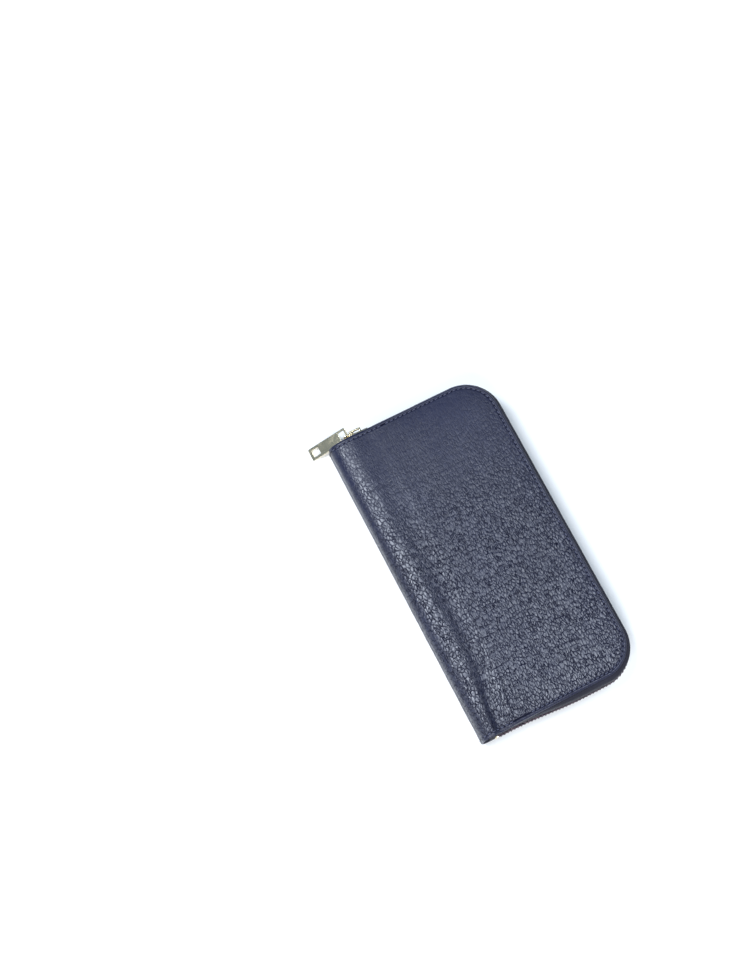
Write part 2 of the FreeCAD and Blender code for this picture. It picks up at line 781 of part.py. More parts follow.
def puller_link():
    """A flat ring through the bail, which also goes round the tab's end bar."""
    body = new_body("puller_link")
    near = plus(LINK_AXIS_X, "sizes.link_wire / 2")
    far = minus(near, "sizes.link_length")
    half = "sizes.link_half_width"
    outer = rounded_rectangle(far, near, minus(MIDDLE, half), plus(MIDDLE, half), "sizes.link_corner")
    inner = rounded_rectangle(
        plus(far, "sizes.link_wire"),
        minus(near, "sizes.link_wire"),
        minus(MIDDLE, f"({half} - sizes.link_wire)"),
        plus(MIDDLE, f"({half} - sizes.link_wire)"),
        "sizes.link_inner_corner",
    )
    y_high = plus(LINK_Y, "sizes.link_wire / 2")
    block_along_y(body, "puller_link", [outer, inner], y_high, "sizes.link_wire")
    return keep(body, "puller_link")


TAB_REACH = "(sizes.tab_length - sizes.tab_bar / 2)"
TAB_DROOP = (
    f"(asin(({MIDDLE} - sizes.tab_floor_gap)"
    f" / sqrt({TAB_REACH}^2 + (sizes.tab_thickness / 2)^2))"
    f" - atan(sizes.tab_thickness / 2 / {TAB_REACH}))"
)


def puller_tab():
    """The flat pull tab, drooping from the link until its tip is near the floor."""
    body = new_body("puller_tab")
    half = "(sizes.tab_width / 2)"
    rail = f"({half} - sizes.tab_bar)"
    near = "(sizes.tab_bar / 2)"
    corner = "sizes.tab_corner"
    plate = rounded_rectangle(f"-{TAB_REACH}", near, f"-{half}", half, corner)
    corner = "sizes.tab_window_corner"
    window = rounded_rectangle(f"(-{near} - sizes.tab_window)", f"-{near}", f"-{rail}", rail, corner)
    tip = minus(TAB_REACH, "sizes.tab_far_bar")
    side = minus(rail, "sizes.tab_far_inset")
    slot = rounded_rectangle(f"-{tip}", f"(sizes.tab_far_window - {tip})", f"-{side}", side, corner)
    low = "-sizes.tab_thickness / 2"
    sketch = new_sketch(body, "puller_tab_outline", "XY_Plane", low)
    for n, corners in enumerate((plate, window, slot)):
        outline(sketch, corners, f"loop{n}")
    pad(body, "puller_tab_pad", sketch, "sizes.tab_thickness")
    body.Placement = Placement(Vector(0, 0, 0), Rotation(Vector(0, -1, 0), 10))
    body.setExpression("Placement.Base.x", TAB_AXIS_X)
    body.setExpression("Placement.Base.y", plus(LINK_Y, "sizes.tab_offset"))
    body.setExpression("Placement.Base.z", MIDDLE)
    body.setExpression("Placement.Rotation.Angle", TAB_DROOP)
    return keep(body, "puller_tab")


def zip_stops():
    """The two top stops beside the slider's post, and the box at the other end."""
    near = plus(SLIDER_X, "sizes.stop_setback")
    far = plus(SLIDER_X, "sizes.post_length")
    depth = minus(CHAIN_HALF, "sizes.stop_recess")
    inner = minus("sizes.tooth_root", "sizes.stop_width")
    for cover in COVERS:
        label = f"{cover}_top_stop"
        body = new_body(label)
        if cover == "front":
            span = (plus(MIDDLE, inner), plus(MIDDLE, "sizes.tooth_root"))
        else:
            span = (minus(MIDDLE, "sizes.tooth_root"), minus(MIDDLE, inner))
        shape = rectangle(near, far, *span)
        block_along_y(body, label, [shape], plus(END, depth), f"(2 * {depth})")
        keep(body, label)
    body = new_body("zip_bottom_stop")
    finish = minus(TEETH_START, "sizes.stop_gap")
    start = plus(SPINE, "sizes.bottom_stop_from_spine")
    span = (minus(MIDDLE, "sizes.tooth_root"), plus(MIDDLE, "sizes.tooth_root"))
    shape = rectangle(start, finish, *span)
    block_along_y(body, "zip_bottom_stop", [shape], f"-({END} - {CHAIN_HALF})", f"(2 * {CHAIN_HALF})")
    keep(body, "zip_bottom_stop")


# ----------------------------------------------------------------- coin pocket


def from_middle(cover, distance, thickness):
    """The lower face of a layer that starts at a distance from the middle."""
    if cover == "front":
        return plus(MIDDLE, distance)
    return minus(MIDDLE, distance, thickness)


def coin_pocket():
    """Two panels, each lined, joined by a wall round the three closed sides."""
    for cover in COVERS:
        label = f"coin_{cover}_panel"
        corners = rectangle(COIN_START, COIN_MOUTH, f"-{COIN_END}", COIN_END)
        low = from_middle(cover, COIN_LINED, "sizes.coin_panel")
        keep(flat_piece(label, corners, low, "sizes.coin_panel"), label)
        label = f"coin_{cover}_lining"
        low = from_middle(cover, COIN_INSIDE, "sizes.coin_lining")
        keep(flat_piece(label, corners, low, "sizes.coin_lining"), label)
    inner_start = plus(COIN_START, "sizes.coin_wall")
    inner_end = minus(COIN_END, "sizes.coin_wall")
    wall = [
        (COIN_START, f"-{COIN_END}"),
        (COIN_MOUTH, f"-{COIN_END}"),
        (COIN_MOUTH, f"-{inner_end}"),
        (inner_start, f"-{inner_end}"),
        (inner_start, inner_end),
        (COIN_MOUTH, inner_end),
        (COIN_MOUTH, COIN_END),
        (COIN_START, COIN_END),
    ]
    low = minus(MIDDLE, COIN_INSIDE)
    keep(flat_piece("coin_side_wall", wall, low, "sizes.coin_cavity"), "coin_side_wall")


COIN_WALL_END = minus(COIN_END, "sizes.coin_wall")
COIN_SLIDER_Y = minus(COIN_WALL_END, "sizes.coin_slider_end")
COIN_TEETH_HIGH = minus(COIN_SLIDER_Y, "sizes.coin_post_length", "sizes.coin_stop_gap")
COIN_TEETH_LOW = f"-{COIN_SLIDER_Y}"


def coin_zip():
    """The tapes, teeth and stops across the coin pocket's mouth."""
    half = "(sizes.coin_tape / 2)"
    for cover in COVERS:
        label = f"coin_{cover}_tape"
        body = new_body(label)
        flange = minus(COIN_MOUTH, "sizes.coin_tape_flange")
        wall_near = minus(COIN_CHAIN, half)
        wall_far = plus(COIN_CHAIN, half)
        low = from_middle(cover, COIN_OUTSIDE, "sizes.coin_tape")
        corners = rectangle(flange, wall_far, f"-{COIN_WALL_END}", COIN_WALL_END)
        layer(body, f"{label}_flange", corners, low, "sizes.coin_tape")
        reach = minus(plus(COIN_OUTSIDE, "sizes.coin_tape"), "sizes.coin_root")
        low = from_middle(cover, "sizes.coin_root", reach)
        corners = rectangle(wall_near, wall_far, f"-{COIN_WALL_END}", COIN_WALL_END)
        layer(body, f"{label}_wall", corners, low, reach)
        keep(body, label)

    along = number("sizes.coin_tooth_length")
    across = number("sizes.coin_tooth_thickness")
    tall = number("sizes.coin_root + sizes.coin_overlap")
    pitch = number("sizes.coin_tooth_pitch")
    for cover in COVERS:
        blocks = []
        y = number(COIN_TEETH_LOW) + (pitch / 2 if cover == "front" else 0)
        low = number(minus(MIDDLE, "sizes.coin_root"))
        if cover == "front":
            low = number(minus(MIDDLE, "sizes.coin_overlap"))
        while y + along <= number(COIN_TEETH_HIGH):
            corner = Vector(number(COIN_CHAIN) - across / 2, y, low)
            blocks.append(Part.makeBox(across, along, tall, corner))
            y += pitch
        row = doc.addObject("Part::Feature", f"coin_{cover}_teeth")
        row.Shape = Part.makeCompound(blocks)
        keep(row, f"coin_{cover}_teeth")

    depth = "(sizes.coin_tooth_thickness / 2 - sizes.coin_stop_recess)"
    low_x = minus(COIN_CHAIN, depth)
    root = "sizes.coin_root"
    slim = plus("sizes.coin_post_half_width", "sizes.coin_stop_recess")
    y_high = minus(COIN_SLIDER_Y, "sizes.coin_stop_inset")
    y_low = plus(COIN_TEETH_HIGH, "sizes.coin_stop_gap")
    for cover in COVERS:
        label = f"coin_{cover}_top_stop"
        body = new_body(label)
        low = from_middle(cover, slim, minus(root, slim))
        high = plus(low, minus(root, slim))
        block_along_x(body, label, [rectangle(y_low, y_high, low, high)], low_x, f"(2 * {depth})")
        keep(body, label)
    body = new_body("coin_bottom_stop")
    finish = minus(COIN_TEETH_LOW, "sizes.stop_gap")
    start = minus(finish, "sizes.coin_tooth_pitch")
    shape = rectangle(start, finish, minus(MIDDLE, root), plus(MIDDLE, root))
    block_along_x(body, "coin_bottom_stop", [shape], low_x, f"(2 * {depth})")
    keep(body, "coin_bottom_stop")


COIN_INNER = plus("sizes.coin_tooth_thickness / 2", "sizes.slider_clearance")
COIN_OUTER = plus(COIN_INNER, "sizes.coin_plate")
COIN_PLATE_X = plus(COIN_CHAIN, COIN_OUTER)


def coin_slider():
    body = new_body("coin_slider_body")
    finish = minus(COIN_SLIDER_Y, "sizes.coin_slider_length")
    half = "sizes.coin_slider_half_width"
    corner = "sizes.coin_plate_corner"
    plate = rounded_rectangle(finish, COIN_SLIDER_Y, minus(MIDDLE, half), plus(MIDDLE, half), corner)
    low = minus(COIN_CHAIN, COIN_OUTER)
    block_along_x(body, "coin_inner_plate", [plate], low, "sizes.coin_plate")
    post = rectangle(
        minus(COIN_SLIDER_Y, "sizes.coin_post_length"),
        minus(COIN_SLIDER_Y, "sizes.coin_post_recess"),
        minus(MIDDLE, "sizes.coin_post_half_width"),
        plus(MIDDLE, "sizes.coin_post_half_width"),
    )
    block_along_x(body, "coin_post", [post], low, f"(2 * {COIN_OUTER})")
    low = plus(COIN_CHAIN, COIN_INNER)
    block_along_x(body, "coin_outer_plate", [plate], low, "sizes.coin_plate")
    near = plus("sizes.coin_root", "sizes.coin_flange_gap")
    for side in ("upper", "lower"):
        if side == "upper":
            z_low, z_high = plus(MIDDLE, near), plus(MIDDLE, half)
        else:
            z_low, z_high = minus(MIDDLE, half), minus(MIDDLE, near)
        rim = rectangle(plus(finish, corner), minus(COIN_SLIDER_Y, corner), z_low, z_high)
        reach = minus(COIN_INNER, "sizes.coin_flange_half_slot")
        low = minus(COIN_CHAIN, COIN_INNER)
        block_along_x(body, f"coin_{side}_inner_flange", [rim], low, reach)
        low = plus(COIN_CHAIN, "sizes.coin_flange_half_slot")
        block_along_x(body, f"coin_{side}_outer_flange", [rim], low, reach)
    keep(body, "coin_slider_body")

    body = new_body("coin_bail")
    centre = minus(COIN_SLIDER_Y, "sizes.coin_slider_length / 2")
    gap = "sizes.coin_bail_gap / 2"
    under = plus(COIN_PLATE_X, "sizes.coin_bail_hole")
    over = plus(under, "sizes.coin_bail_bar")
    leg_low = minus(centre, gap, "sizes.coin_bail_leg")
    leg_high = plus(centre, gap, "sizes.coin_bail_leg")
    arch = [
        (COIN_PLATE_X, leg_low),
        (over, leg_low),
        (over, leg_high),
        (COIN_PLATE_X, leg_high),
        (COIN_PLATE_X, plus(centre, gap)),
        (under, plus(centre, gap)),
        (under, minus(centre, gap)),
        (COIN_PLATE_X, minus(centre, gap)),
    ]
    half = "sizes.coin_bail_half_width"
    layer(body, "coin_bail", arch, minus(MIDDLE, half), f"(2 * {half})")
    keep(body, "coin_bail")


COIN_PULLER_X = plus(COIN_PLATE_X, "sizes.coin_bail_hole / 2")
COIN_PULLER_Y = plus(
    COIN_SLIDER_Y,
    "-sizes.coin_slider_length / 2 - sizes.coin_bail_gap / 2",
    "sizes.link_clearance + sizes.coin_puller_bar / 2",
)


def coin_puller():
    """A small flat puller whose end bar turns in the coin slider's bail."""
    body = new_body("coin_puller")
    near = plus(COIN_PULLER_Y, "sizes.coin_puller_bar / 2")
    far = minus(COIN_PULLER_Y, "sizes.coin_puller_length")
    half = "sizes.coin_puller_half_width"
    corner = "sizes.coin_puller_corner"
    plate = rounded_rectangle(far, near, minus(MIDDLE, half), plus(MIDDLE, half), corner)
    eye_high = minus(COIN_PULLER_Y, "sizes.coin_puller_bar / 2")
    eye_low = minus(eye_high, "sizes.coin_puller_eye")
    rail = minus(half, "sizes.coin_puller_rail")
    corner = "sizes.coin_eye_corner"
    eye = rounded_rectangle(eye_low, eye_high, minus(MIDDLE, rail), plus(MIDDLE, rail), corner)
    low = minus(COIN_PULLER_X, "sizes.coin_puller_thickness / 2")
    block_along_x(body, "coin_puller", [plate, eye], low, "sizes.coin_puller_thickness")
    keep(body, "coin_puller")


# ------------------------------------------------------------------- assembly

outline_block = new_body("outline_block")
whole_height = f"({TOP} + 2 * sizes.leather)"
whole_outline = panel(minus(SPINE, "sizes.leather"), "0")
layer(outline_block, "outline_block", whole_outline, "-sizes.leather", whole_height)

for cover in COVERS:
    cover_leather(cover, outline_block)
    cover_stitching(cover)
    cover_inside(cover)
    zip_tape(cover)
    zip_teeth(cover)
    for end in ("top", "bottom"):
        gusset(cover, end)
spine_lining()
zip_stops()
main_slider()
slider_bail()
puller_link()
puller_tab()
coin_pocket()
coin_zip()
coin_slider()
coin_puller()
doc.recompute()

faults = []
for item in doc.Objects:
    if "Invalid" in item.State or "Error" in item.State:
        faults.append(f"{item.Label}: {item.State}")
for piece in pieces:
    if piece.Shape.isNull() or not piece.Shape.isValid():
        faults.append(f"{piece.Label}: its shape is null or not valid")
    elif not piece.Shape.Solids:
        faults.append(f"{piece.Label}: it has no solid")
if faults:
    raise RuntimeError("; ".join(faults))

os.makedirs("parts", exist_ok=True)
for piece in pieces:
    piece.Shape.exportStep(f"parts/{piece.Label}.step")
places = {
    "hinge of cover and coin pocket (x, z)": (SPINE, MIDDLE),
    "link axis (x, y)": (LINK_AXIS_X, LINK_Y),
    "tab axis (x, y, z)": (TAB_AXIS_X, plus(LINK_Y, "sizes.tab_offset"), MIDDLE),
    "coin puller axis (x, y)": (COIN_PULLER_X, COIN_PULLER_Y),
    "start of the flat panel (x)": (FLAT_X,),
}
for name, values in places.items():
    print(name, [round(number(v), 3) for v in values])
print(len(pieces), "pieces written")
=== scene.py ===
import math

import bmesh
import bpy
from mathutils import Matrix, Vector, noise


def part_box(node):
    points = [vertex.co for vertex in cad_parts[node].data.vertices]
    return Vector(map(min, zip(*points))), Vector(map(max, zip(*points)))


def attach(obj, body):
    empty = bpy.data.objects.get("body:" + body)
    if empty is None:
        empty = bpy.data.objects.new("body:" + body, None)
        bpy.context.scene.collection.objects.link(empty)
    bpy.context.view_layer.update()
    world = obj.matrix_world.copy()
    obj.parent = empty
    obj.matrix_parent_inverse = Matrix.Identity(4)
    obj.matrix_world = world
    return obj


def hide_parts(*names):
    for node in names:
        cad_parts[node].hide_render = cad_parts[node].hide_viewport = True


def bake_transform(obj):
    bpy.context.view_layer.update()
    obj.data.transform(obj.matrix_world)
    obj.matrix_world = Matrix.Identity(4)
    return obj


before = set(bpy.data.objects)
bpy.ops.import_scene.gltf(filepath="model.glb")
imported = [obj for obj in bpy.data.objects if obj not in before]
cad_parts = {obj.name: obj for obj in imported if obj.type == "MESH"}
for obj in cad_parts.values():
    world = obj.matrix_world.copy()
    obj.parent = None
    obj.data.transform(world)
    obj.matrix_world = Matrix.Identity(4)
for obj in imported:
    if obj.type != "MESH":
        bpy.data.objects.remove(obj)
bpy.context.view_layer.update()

# A zip-around long wallet in navy pebbled leather, closed, lying on its back
# cover. +X runs from the rolled spine to the zip edge, +Y to the end where the
# slider stops, +Z up. Everything is in metres.

MM = 0.001

# ------------------------------------------------- places read from the frame

cover_low, cover_high = (Vector(corner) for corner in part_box("front_leather"))
SPINE_X = cover_low.x
EDGE_X = cover_high.x
END_Y = cover_high.y
MIDDLE_Z = cover_low.z
HALF_THICK = cover_high.z - cover_low.z

# ------------------------------------------------------- sizes of the leather

CORNER = 21 * MM
LEATHER = 1.1 * MM
ROLL_WALL = 4.0 * MM
ROLL_HIGH = 11.7 * MM
PANEL_START_X = SPINE_X + 30.5 * MM
DOME = 0.75 * MM
TURN_DROP = 1.3 * MM
TURN_WIDTH = 1.1 * MM
RIM_CROWN = 0.24 * MM
HEM_SHARE = 0.45
STITCH_INSET = 2.4 * MM
STITCH_PITCH = 3.0 * MM
GROOVE_DEPTH = 0.42 * MM
GROOVE_HALF = 0.33 * MM
SKIN_STEP = 1.0 * MM
CUSHION_START = 2.7 * MM
CUSHION_REACH = 9 * MM
SLOW_WAVE = 26 * MM
SLOW_RISE = 0.16 * MM
QUICK_WAVE = 9 * MM
QUICK_RISE = 0.07 * MM
CRUMPLE_WAVE = 11 * MM
CRUMPLE_RISE = 0.10 * MM
MOTTLE_WAVE = 17 * MM
SEAM_SHADE_HALF = 0.5 * MM

# Lengths of the spine's four sections on the flat hide.
SECTION_LENGTHS = (4.0 * MM, 13.0 * MM, 12.6 * MM, 9.3 * MM)

# Distances of the skin's first rows from a cut edge, in millimetres.
EDGE_ROWS = (0, 0.06, 0.18, 0.36, 0.6, 0.85, 1.1, 1.4, 1.7, 1.95)
GROOVE_ROWS = (2.15, 2.3, 2.4, 2.5, 2.65, 2.85, 3.1, 3.5, 4.1, 4.9)

SPINE_SECTIONS = 4  # wall, roll, fall into the crease, rise to the panel
PANEL_AT = SPINE_SECTIONS
CORNER_AT = PANEL_AT + 1


def side_of(cover):
    """+1 on the front cover, -1 on the back cover."""
    return 1 if cover == "front" else -1


# ---------------------------------------------------------------- mesh helpers


def new_piece(name, bm, body=None, slot=None, replaces=(), smooth=True, finish=None):
    """A finished piece from a bmesh, with its material slot and its body."""
    mesh = bpy.data.meshes.new(name)
    for face in bm.faces:
        face.smooth = smooth
    bm.to_mesh(mesh)
    bm.free()
    piece = bpy.data.objects.new(name, mesh)
    bpy.context.scene.collection.objects.link(piece)
    if slot:
        mesh.materials.append(MATERIALS[finish or slot])
    if replaces:
        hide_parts(*replaces)
    if body:
        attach(piece, body)
    return piece


def sharpen(bm, degrees):
    """Edges that turn by more than this stay crisp."""
    limit = math.radians(degrees)
    for edge in bm.edges:
        if len(edge.link_faces) == 2 and edge.calc_face_angle(0) > limit:
            edge.smooth = False


def grid_piece(u_values, v_values, place, flat_place=None):
    """A bmesh grid whose points are set by place(u, v), with a UV map in metres."""
    bm = bmesh.new()
    columns, rows = len(u_values), len(v_values)
    bmesh.ops.create_grid(bm, x_segments=columns - 1, y_segments=rows - 1, size=1)
    uv_layer = bm.loops.layers.uv.new("cut")
    flat = {}
    for vert in bm.verts:
        column = round((vert.co.x + 1) / 2 * (columns - 1))
        row = round((vert.co.y + 1) / 2 * (rows - 1))
        u, v = u_values[column], v_values[row]
        vert.co = place(u, v)
        flat[vert] = flat_place(u, v) if flat_place else (u, v)
    for face in bm.faces:
        for loop in face.loops:
            loop[uv_layer].uv = flat[loop.vert]
    return bm


def spread(low, high, step):
    """Even values from low to high, about a step apart."""
    count = max(1, round(abs(high - low) / step))
    return [low + (high - low) * n / count for n in range(count + 1)]


def thicken(piece, thickness, offset=-1):
    """Gives a sheet its thickness with a Solidify modifier."""
    solid = piece.modifiers.new("thickness", "SOLIDIFY")
    solid.thickness = thickness
    solid.offset = offset
    solid.use_even_offset = False


def bezier(a, b, c, d, t):
    """A point of a cubic curve."""
    s = 1 - t
    return a * s**3 + b * 3 * s * s * t + c * 3 * s * t * t + d * t**3


def bump(distance, centre, half_width):
    """A smooth bump of height 1."""
    return math.exp(-(((distance - centre) / half_width) ** 2))


# -------------------------------------------------------- shape of the leather


def smooth(value, low, high):
    """0 below low, 1 above high, and a smooth step between."""
    share = min(1.0, max(0.0, (value - low) / (high - low)))
    return share * share * (3 - 2 * share)


def spine_places(y):
    """Crest of the roll, place and height of the crease beside it, start of the panel."""
    loose = smooth(y, -96 * MM, -45 * MM)
    further = smooth(y, -60 * MM, 90 * MM)
    crest_x = SPINE_X + (7.0 + 5.2 * loose) * MM
    valley_x = SPINE_X + (12.0 + 7.5 * loose + 2.5 * further) * MM
    valley_high = (9.4 + 1.1 * loose + 1.0 * further) * MM
    return crest_x, valley_x, valley_high, valley_x + (10.0 + 3.0 * further) * MM


def spine_point(p, y):
    """The outside of the leather across the spine: x, and the height above the middle."""
    crest_x, valley_x, valley_high, start_x = spine_places(y)
    roll = crest_x - SPINE_X
    rise = ROLL_HIGH - ROLL_WALL
    section = min(int(p), SPINE_SECTIONS - 1)
    t = p - section
    if section == 0:
        ends = [(SPINE_X, ROLL_WALL * n / 3) for n in range(4)]
    elif section == 1:
        ends = [
            (SPINE_X, ROLL_WALL),
            (SPINE_X, ROLL_WALL + 0.66 * rise),
            (crest_x - 0.58 * roll, ROLL_WALL + 0.88 * rise),
            (crest_x, ROLL_HIGH),
        ]
    elif section == 2:
        fall = valley_x - crest_x
        ends = [
            (crest_x, ROLL_HIGH),
            (crest_x + 0.30 * fall, ROLL_HIGH + 0.035 * fall),
            (valley_x - 0.42 * fall, valley_high),
            (valley_x, valley_high),
        ]
    else:
        ends = [
            (valley_x, valley_high),
            (valley_x + 0.35 * (start_x - valley_x), valley_high),
            (valley_x + 0.6 * (start_x - valley_x), HALF_THICK),
            (start_x, HALF_THICK),
        ]
    return bezier(*(Vector(end) for end in ends), t)


def from_edge(x, y):
    """Distance from the cut edge, before the corners are rounded."""
    return max(0.0, min(EDGE_X - x, END_Y - abs(y)))


def rim_rise(distance):
    """The turned edge: a rounded drop, a crown, and the stitched groove."""
    rise = RIM_CROWN * bump(distance, 1.35 * MM, 0.7 * MM)
    rise -= GROOVE_DEPTH * bump(distance, STITCH_INSET, GROOVE_HALF)
    if distance < TURN_WIDTH:
        across = 1 - distance / TURN_WIDTH
        rise -= TURN_DROP * (1 - math.sqrt(max(0.0, 1 - across * across)))
    return rise


def panel_rise(x, y):
    """A slight dome over the padding, and the hide's own gentle unevenness."""
    inward = from_edge(x, y)
    cushion = 1 - math.exp(-max(0.0, inward - CUSHION_START) / CUSHION_REACH)
    dome = DOME * cushion * smooth(x, PANEL_START_X, PANEL_START_X + 24 * MM)
    start = spine_places(y)[3]
    calm = smooth(x, start, start + 8 * MM)
    slow = noise.noise(Vector((x, y * 0.6, 0.3)) / SLOW_WAVE)
    quick = noise.noise(Vector((x * 1.7, y * 0.5, 7.1)) / QUICK_WAVE)
    lower = 0.4 + 0.6 * min(1.0, max(0.0, 0.5 - y / (2 * END_Y)))
    fade = min(1.0, inward / (6 * MM))
    return dome + calm * fade * lower * (SLOW_RISE * slow + QUICK_RISE * quick)


def rounded(x, y):
    """Moves a point of the square-cornered cut to the cut with rounded corners."""
    across = (x - (EDGE_X - CORNER)) / CORNER
    along = (abs(y) - (END_Y - CORNER)) / CORNER
    if across <= 0 or along <= 0:
        return x, y
    reach = max(across, along)
    if across > along:
        angle = math.pi / 4 * along / across
    else:
        angle = math.pi / 2 - math.pi / 4 * across / along
    x = EDGE_X - CORNER + CORNER * reach * math.cos(angle)
    high = END_Y - CORNER + CORNER * reach * math.sin(angle)
    return x, math.copysign(high, y)


def panel_x(p, y):
    """The x of a column of the flat panel."""
    start = spine_places(y)[3]
    if p <= CORNER_AT:
        return start + (EDGE_X - CORNER - start) * (p - PANEL_AT)
    return EDGE_X - CORNER + CORNER * (p - CORNER_AT)


def cover_point(cover, p, y, lift=0.0):
    """A point on the outside of a cover, lifted off the leather by lift."""
    if p < PANEL_AT:
        here = spine_point(p, y)
        nudge = 0.002
        ahead = spine_point(min(p + nudge, PANEL_AT), y)
        behind = spine_point(max(p - nudge, 0), y)
        along = (ahead - behind).normalized()
        normal = Vector((-along.y, along.x))
        crumple = noise.noise(Vector((p * 2.2, y / CRUMPLE_WAVE, 3.7)))
        soft = CRUMPLE_RISE * crumple * min(1.0, p) * (1 - smooth(p, 3, 4))
        softer = HEM_SHARE + (1 - HEM_SHARE) * smooth(p, 2.6, 4)
        out = rim_rise(END_Y - abs(y)) * softer + soft + lift
        x, high = here.x + normal.x * out, here.y + normal.y * out
    else:
        square_x = panel_x(p, y)
        out = rim_rise(from_edge(square_x, y)) + lift
        if cover == "front":
            out += panel_rise(square_x, y)
        x, y = rounded(square_x, y)
        high = HALF_THICK + out
    return Vector((x, y, MIDDLE_Z + side_of(cover) * high))


def edge_steps(span):
    """Distances from a cut edge inwards: close together over the turned edge."""
    values = [n * MM for n in EDGE_ROWS + GROOVE_ROWS]
    return values + spread(values[-1], span, SKIN_STEP)[1:]


def cut_rows():
    """The y of each row of the skin."""
    half = edge_steps(END_Y)
    return [-END_Y + d for d in half] + [END_Y - d for d in reversed(half[:-1])]


def cut_columns():
    """The place of each column across the skin."""
    columns = spread(0, 1, 1 / 5) + spread(1, 2, 1 / 16)[1:]
    columns += spread(2, 3, 1 / 10)[1:] + spread(3, 4, 1 / 13)[1:]
    flat = EDGE_X - CORNER - PANEL_START_X
    columns += spread(PANEL_AT, CORNER_AT, SKIN_STEP / flat)[1:]
    corner = [1 - d / CORNER for d in reversed(edge_steps(CORNER))]
    return columns + [CORNER_AT + share for share in corner[1:]]


def cut_place(p, y):
    """Where a point of the skin lies on the flat hide."""
    if p < PANEL_AT:
        whole = int(p)
        along = sum(SECTION_LENGTHS[:whole]) + (p - whole) * SECTION_LENGTHS[whole]
        return along, y
    x, y = rounded(panel_x(p, y), y)
    return sum(SECTION_LENGTHS) + x - PANEL_START_X, y


# ------------------------------------------------------------- shader helpers


def node(tree, kind, inputs=None, **settings):
    """A shader node with its settings and unlinked input values, or its links."""
    made = tree.nodes.new(kind)
    for name, value in settings.items():
        setattr(made, name, value)
    for name, value in (inputs or {}).items():
        if isinstance(value, bpy.types.NodeSocket):
            tree.links.new(value, made.inputs[name])
        else:
            made.inputs[name].default_value = value
    return made


def maths(tree, operation, first, second=0.0, third=0.0):
    """The value of a Math node."""
    values = {0: first, 1: second, 2: third}
    return node(tree, "ShaderNodeMath", values, operation=operation).outputs[0]


def vector_maths(tree, operation, *vectors):
    """The vector of a Vector Math node."""
    return node(tree, "ShaderNodeVectorMath", dict(enumerate(vectors)), operation=operation).outputs[0]


def scaled(tree, vector, scale):
    """The vector times a constant in each direction."""
    return vector_maths(tree, "MULTIPLY", vector, scale)


def in_millimetres(tree, place):
    """A place in metres, as millimetres."""
    return scaled(tree, place, (1000, 1000, 1000))


def noise_texture(tree, place, scale, detail, roughness=0.5):
    """The outputs of a noise texture."""
    inputs = {"Vector": place, "Scale": scale, "Detail": detail, "Roughness": roughness}
    return node(tree, "ShaderNodeTexNoise", inputs).outputs


def ramp(tree, value, low, high, to_low=0.0, to_high=1.0):
    """A smooth step of value from low to high."""
    inputs = {"Value": value, "From Min": low, "From Max": high, "To Min": to_low, "To Max": to_high}
    return node(tree, "ShaderNodeMapRange", inputs, interpolation_type="SMOOTHSTEP").outputs["Result"]


def blend_colours(tree, share, first, second):
    """A mix of two colours."""
    made = node(tree, "ShaderNodeMix", data_type="RGBA")
    for socket, value in ((made.inputs[0], share), (made.inputs[6], first), (made.inputs[7], second)):
        if isinstance(value, bpy.types.NodeSocket):
            tree.links.new(value, socket)
        else:
            socket.default_value = value
    return made.outputs[2]


def new_group(name, inputs, outputs):
    """An empty shader group with named sockets: returns its tree, inputs and outputs."""
    tree = bpy.data.node_groups.new(name, "ShaderNodeTree")
    for label, kind, value in inputs:
        socket = tree.interface.new_socket(label, in_out="INPUT", socket_type=f"NodeSocket{kind}")
        if value is not None:
            socket.default_value = value
    for label, kind in outputs:
        tree.interface.new_socket(label, in_out="OUTPUT", socket_type=f"NodeSocket{kind}")
    return tree, tree.nodes.new("NodeGroupInput").outputs, tree.nodes.new("NodeGroupOutput").inputs


def use_group(tree, group, inputs):
    """The outputs of a shader group placed in a tree."""
    return node(tree, "ShaderNodeGroup", inputs, node_tree=group).outputs


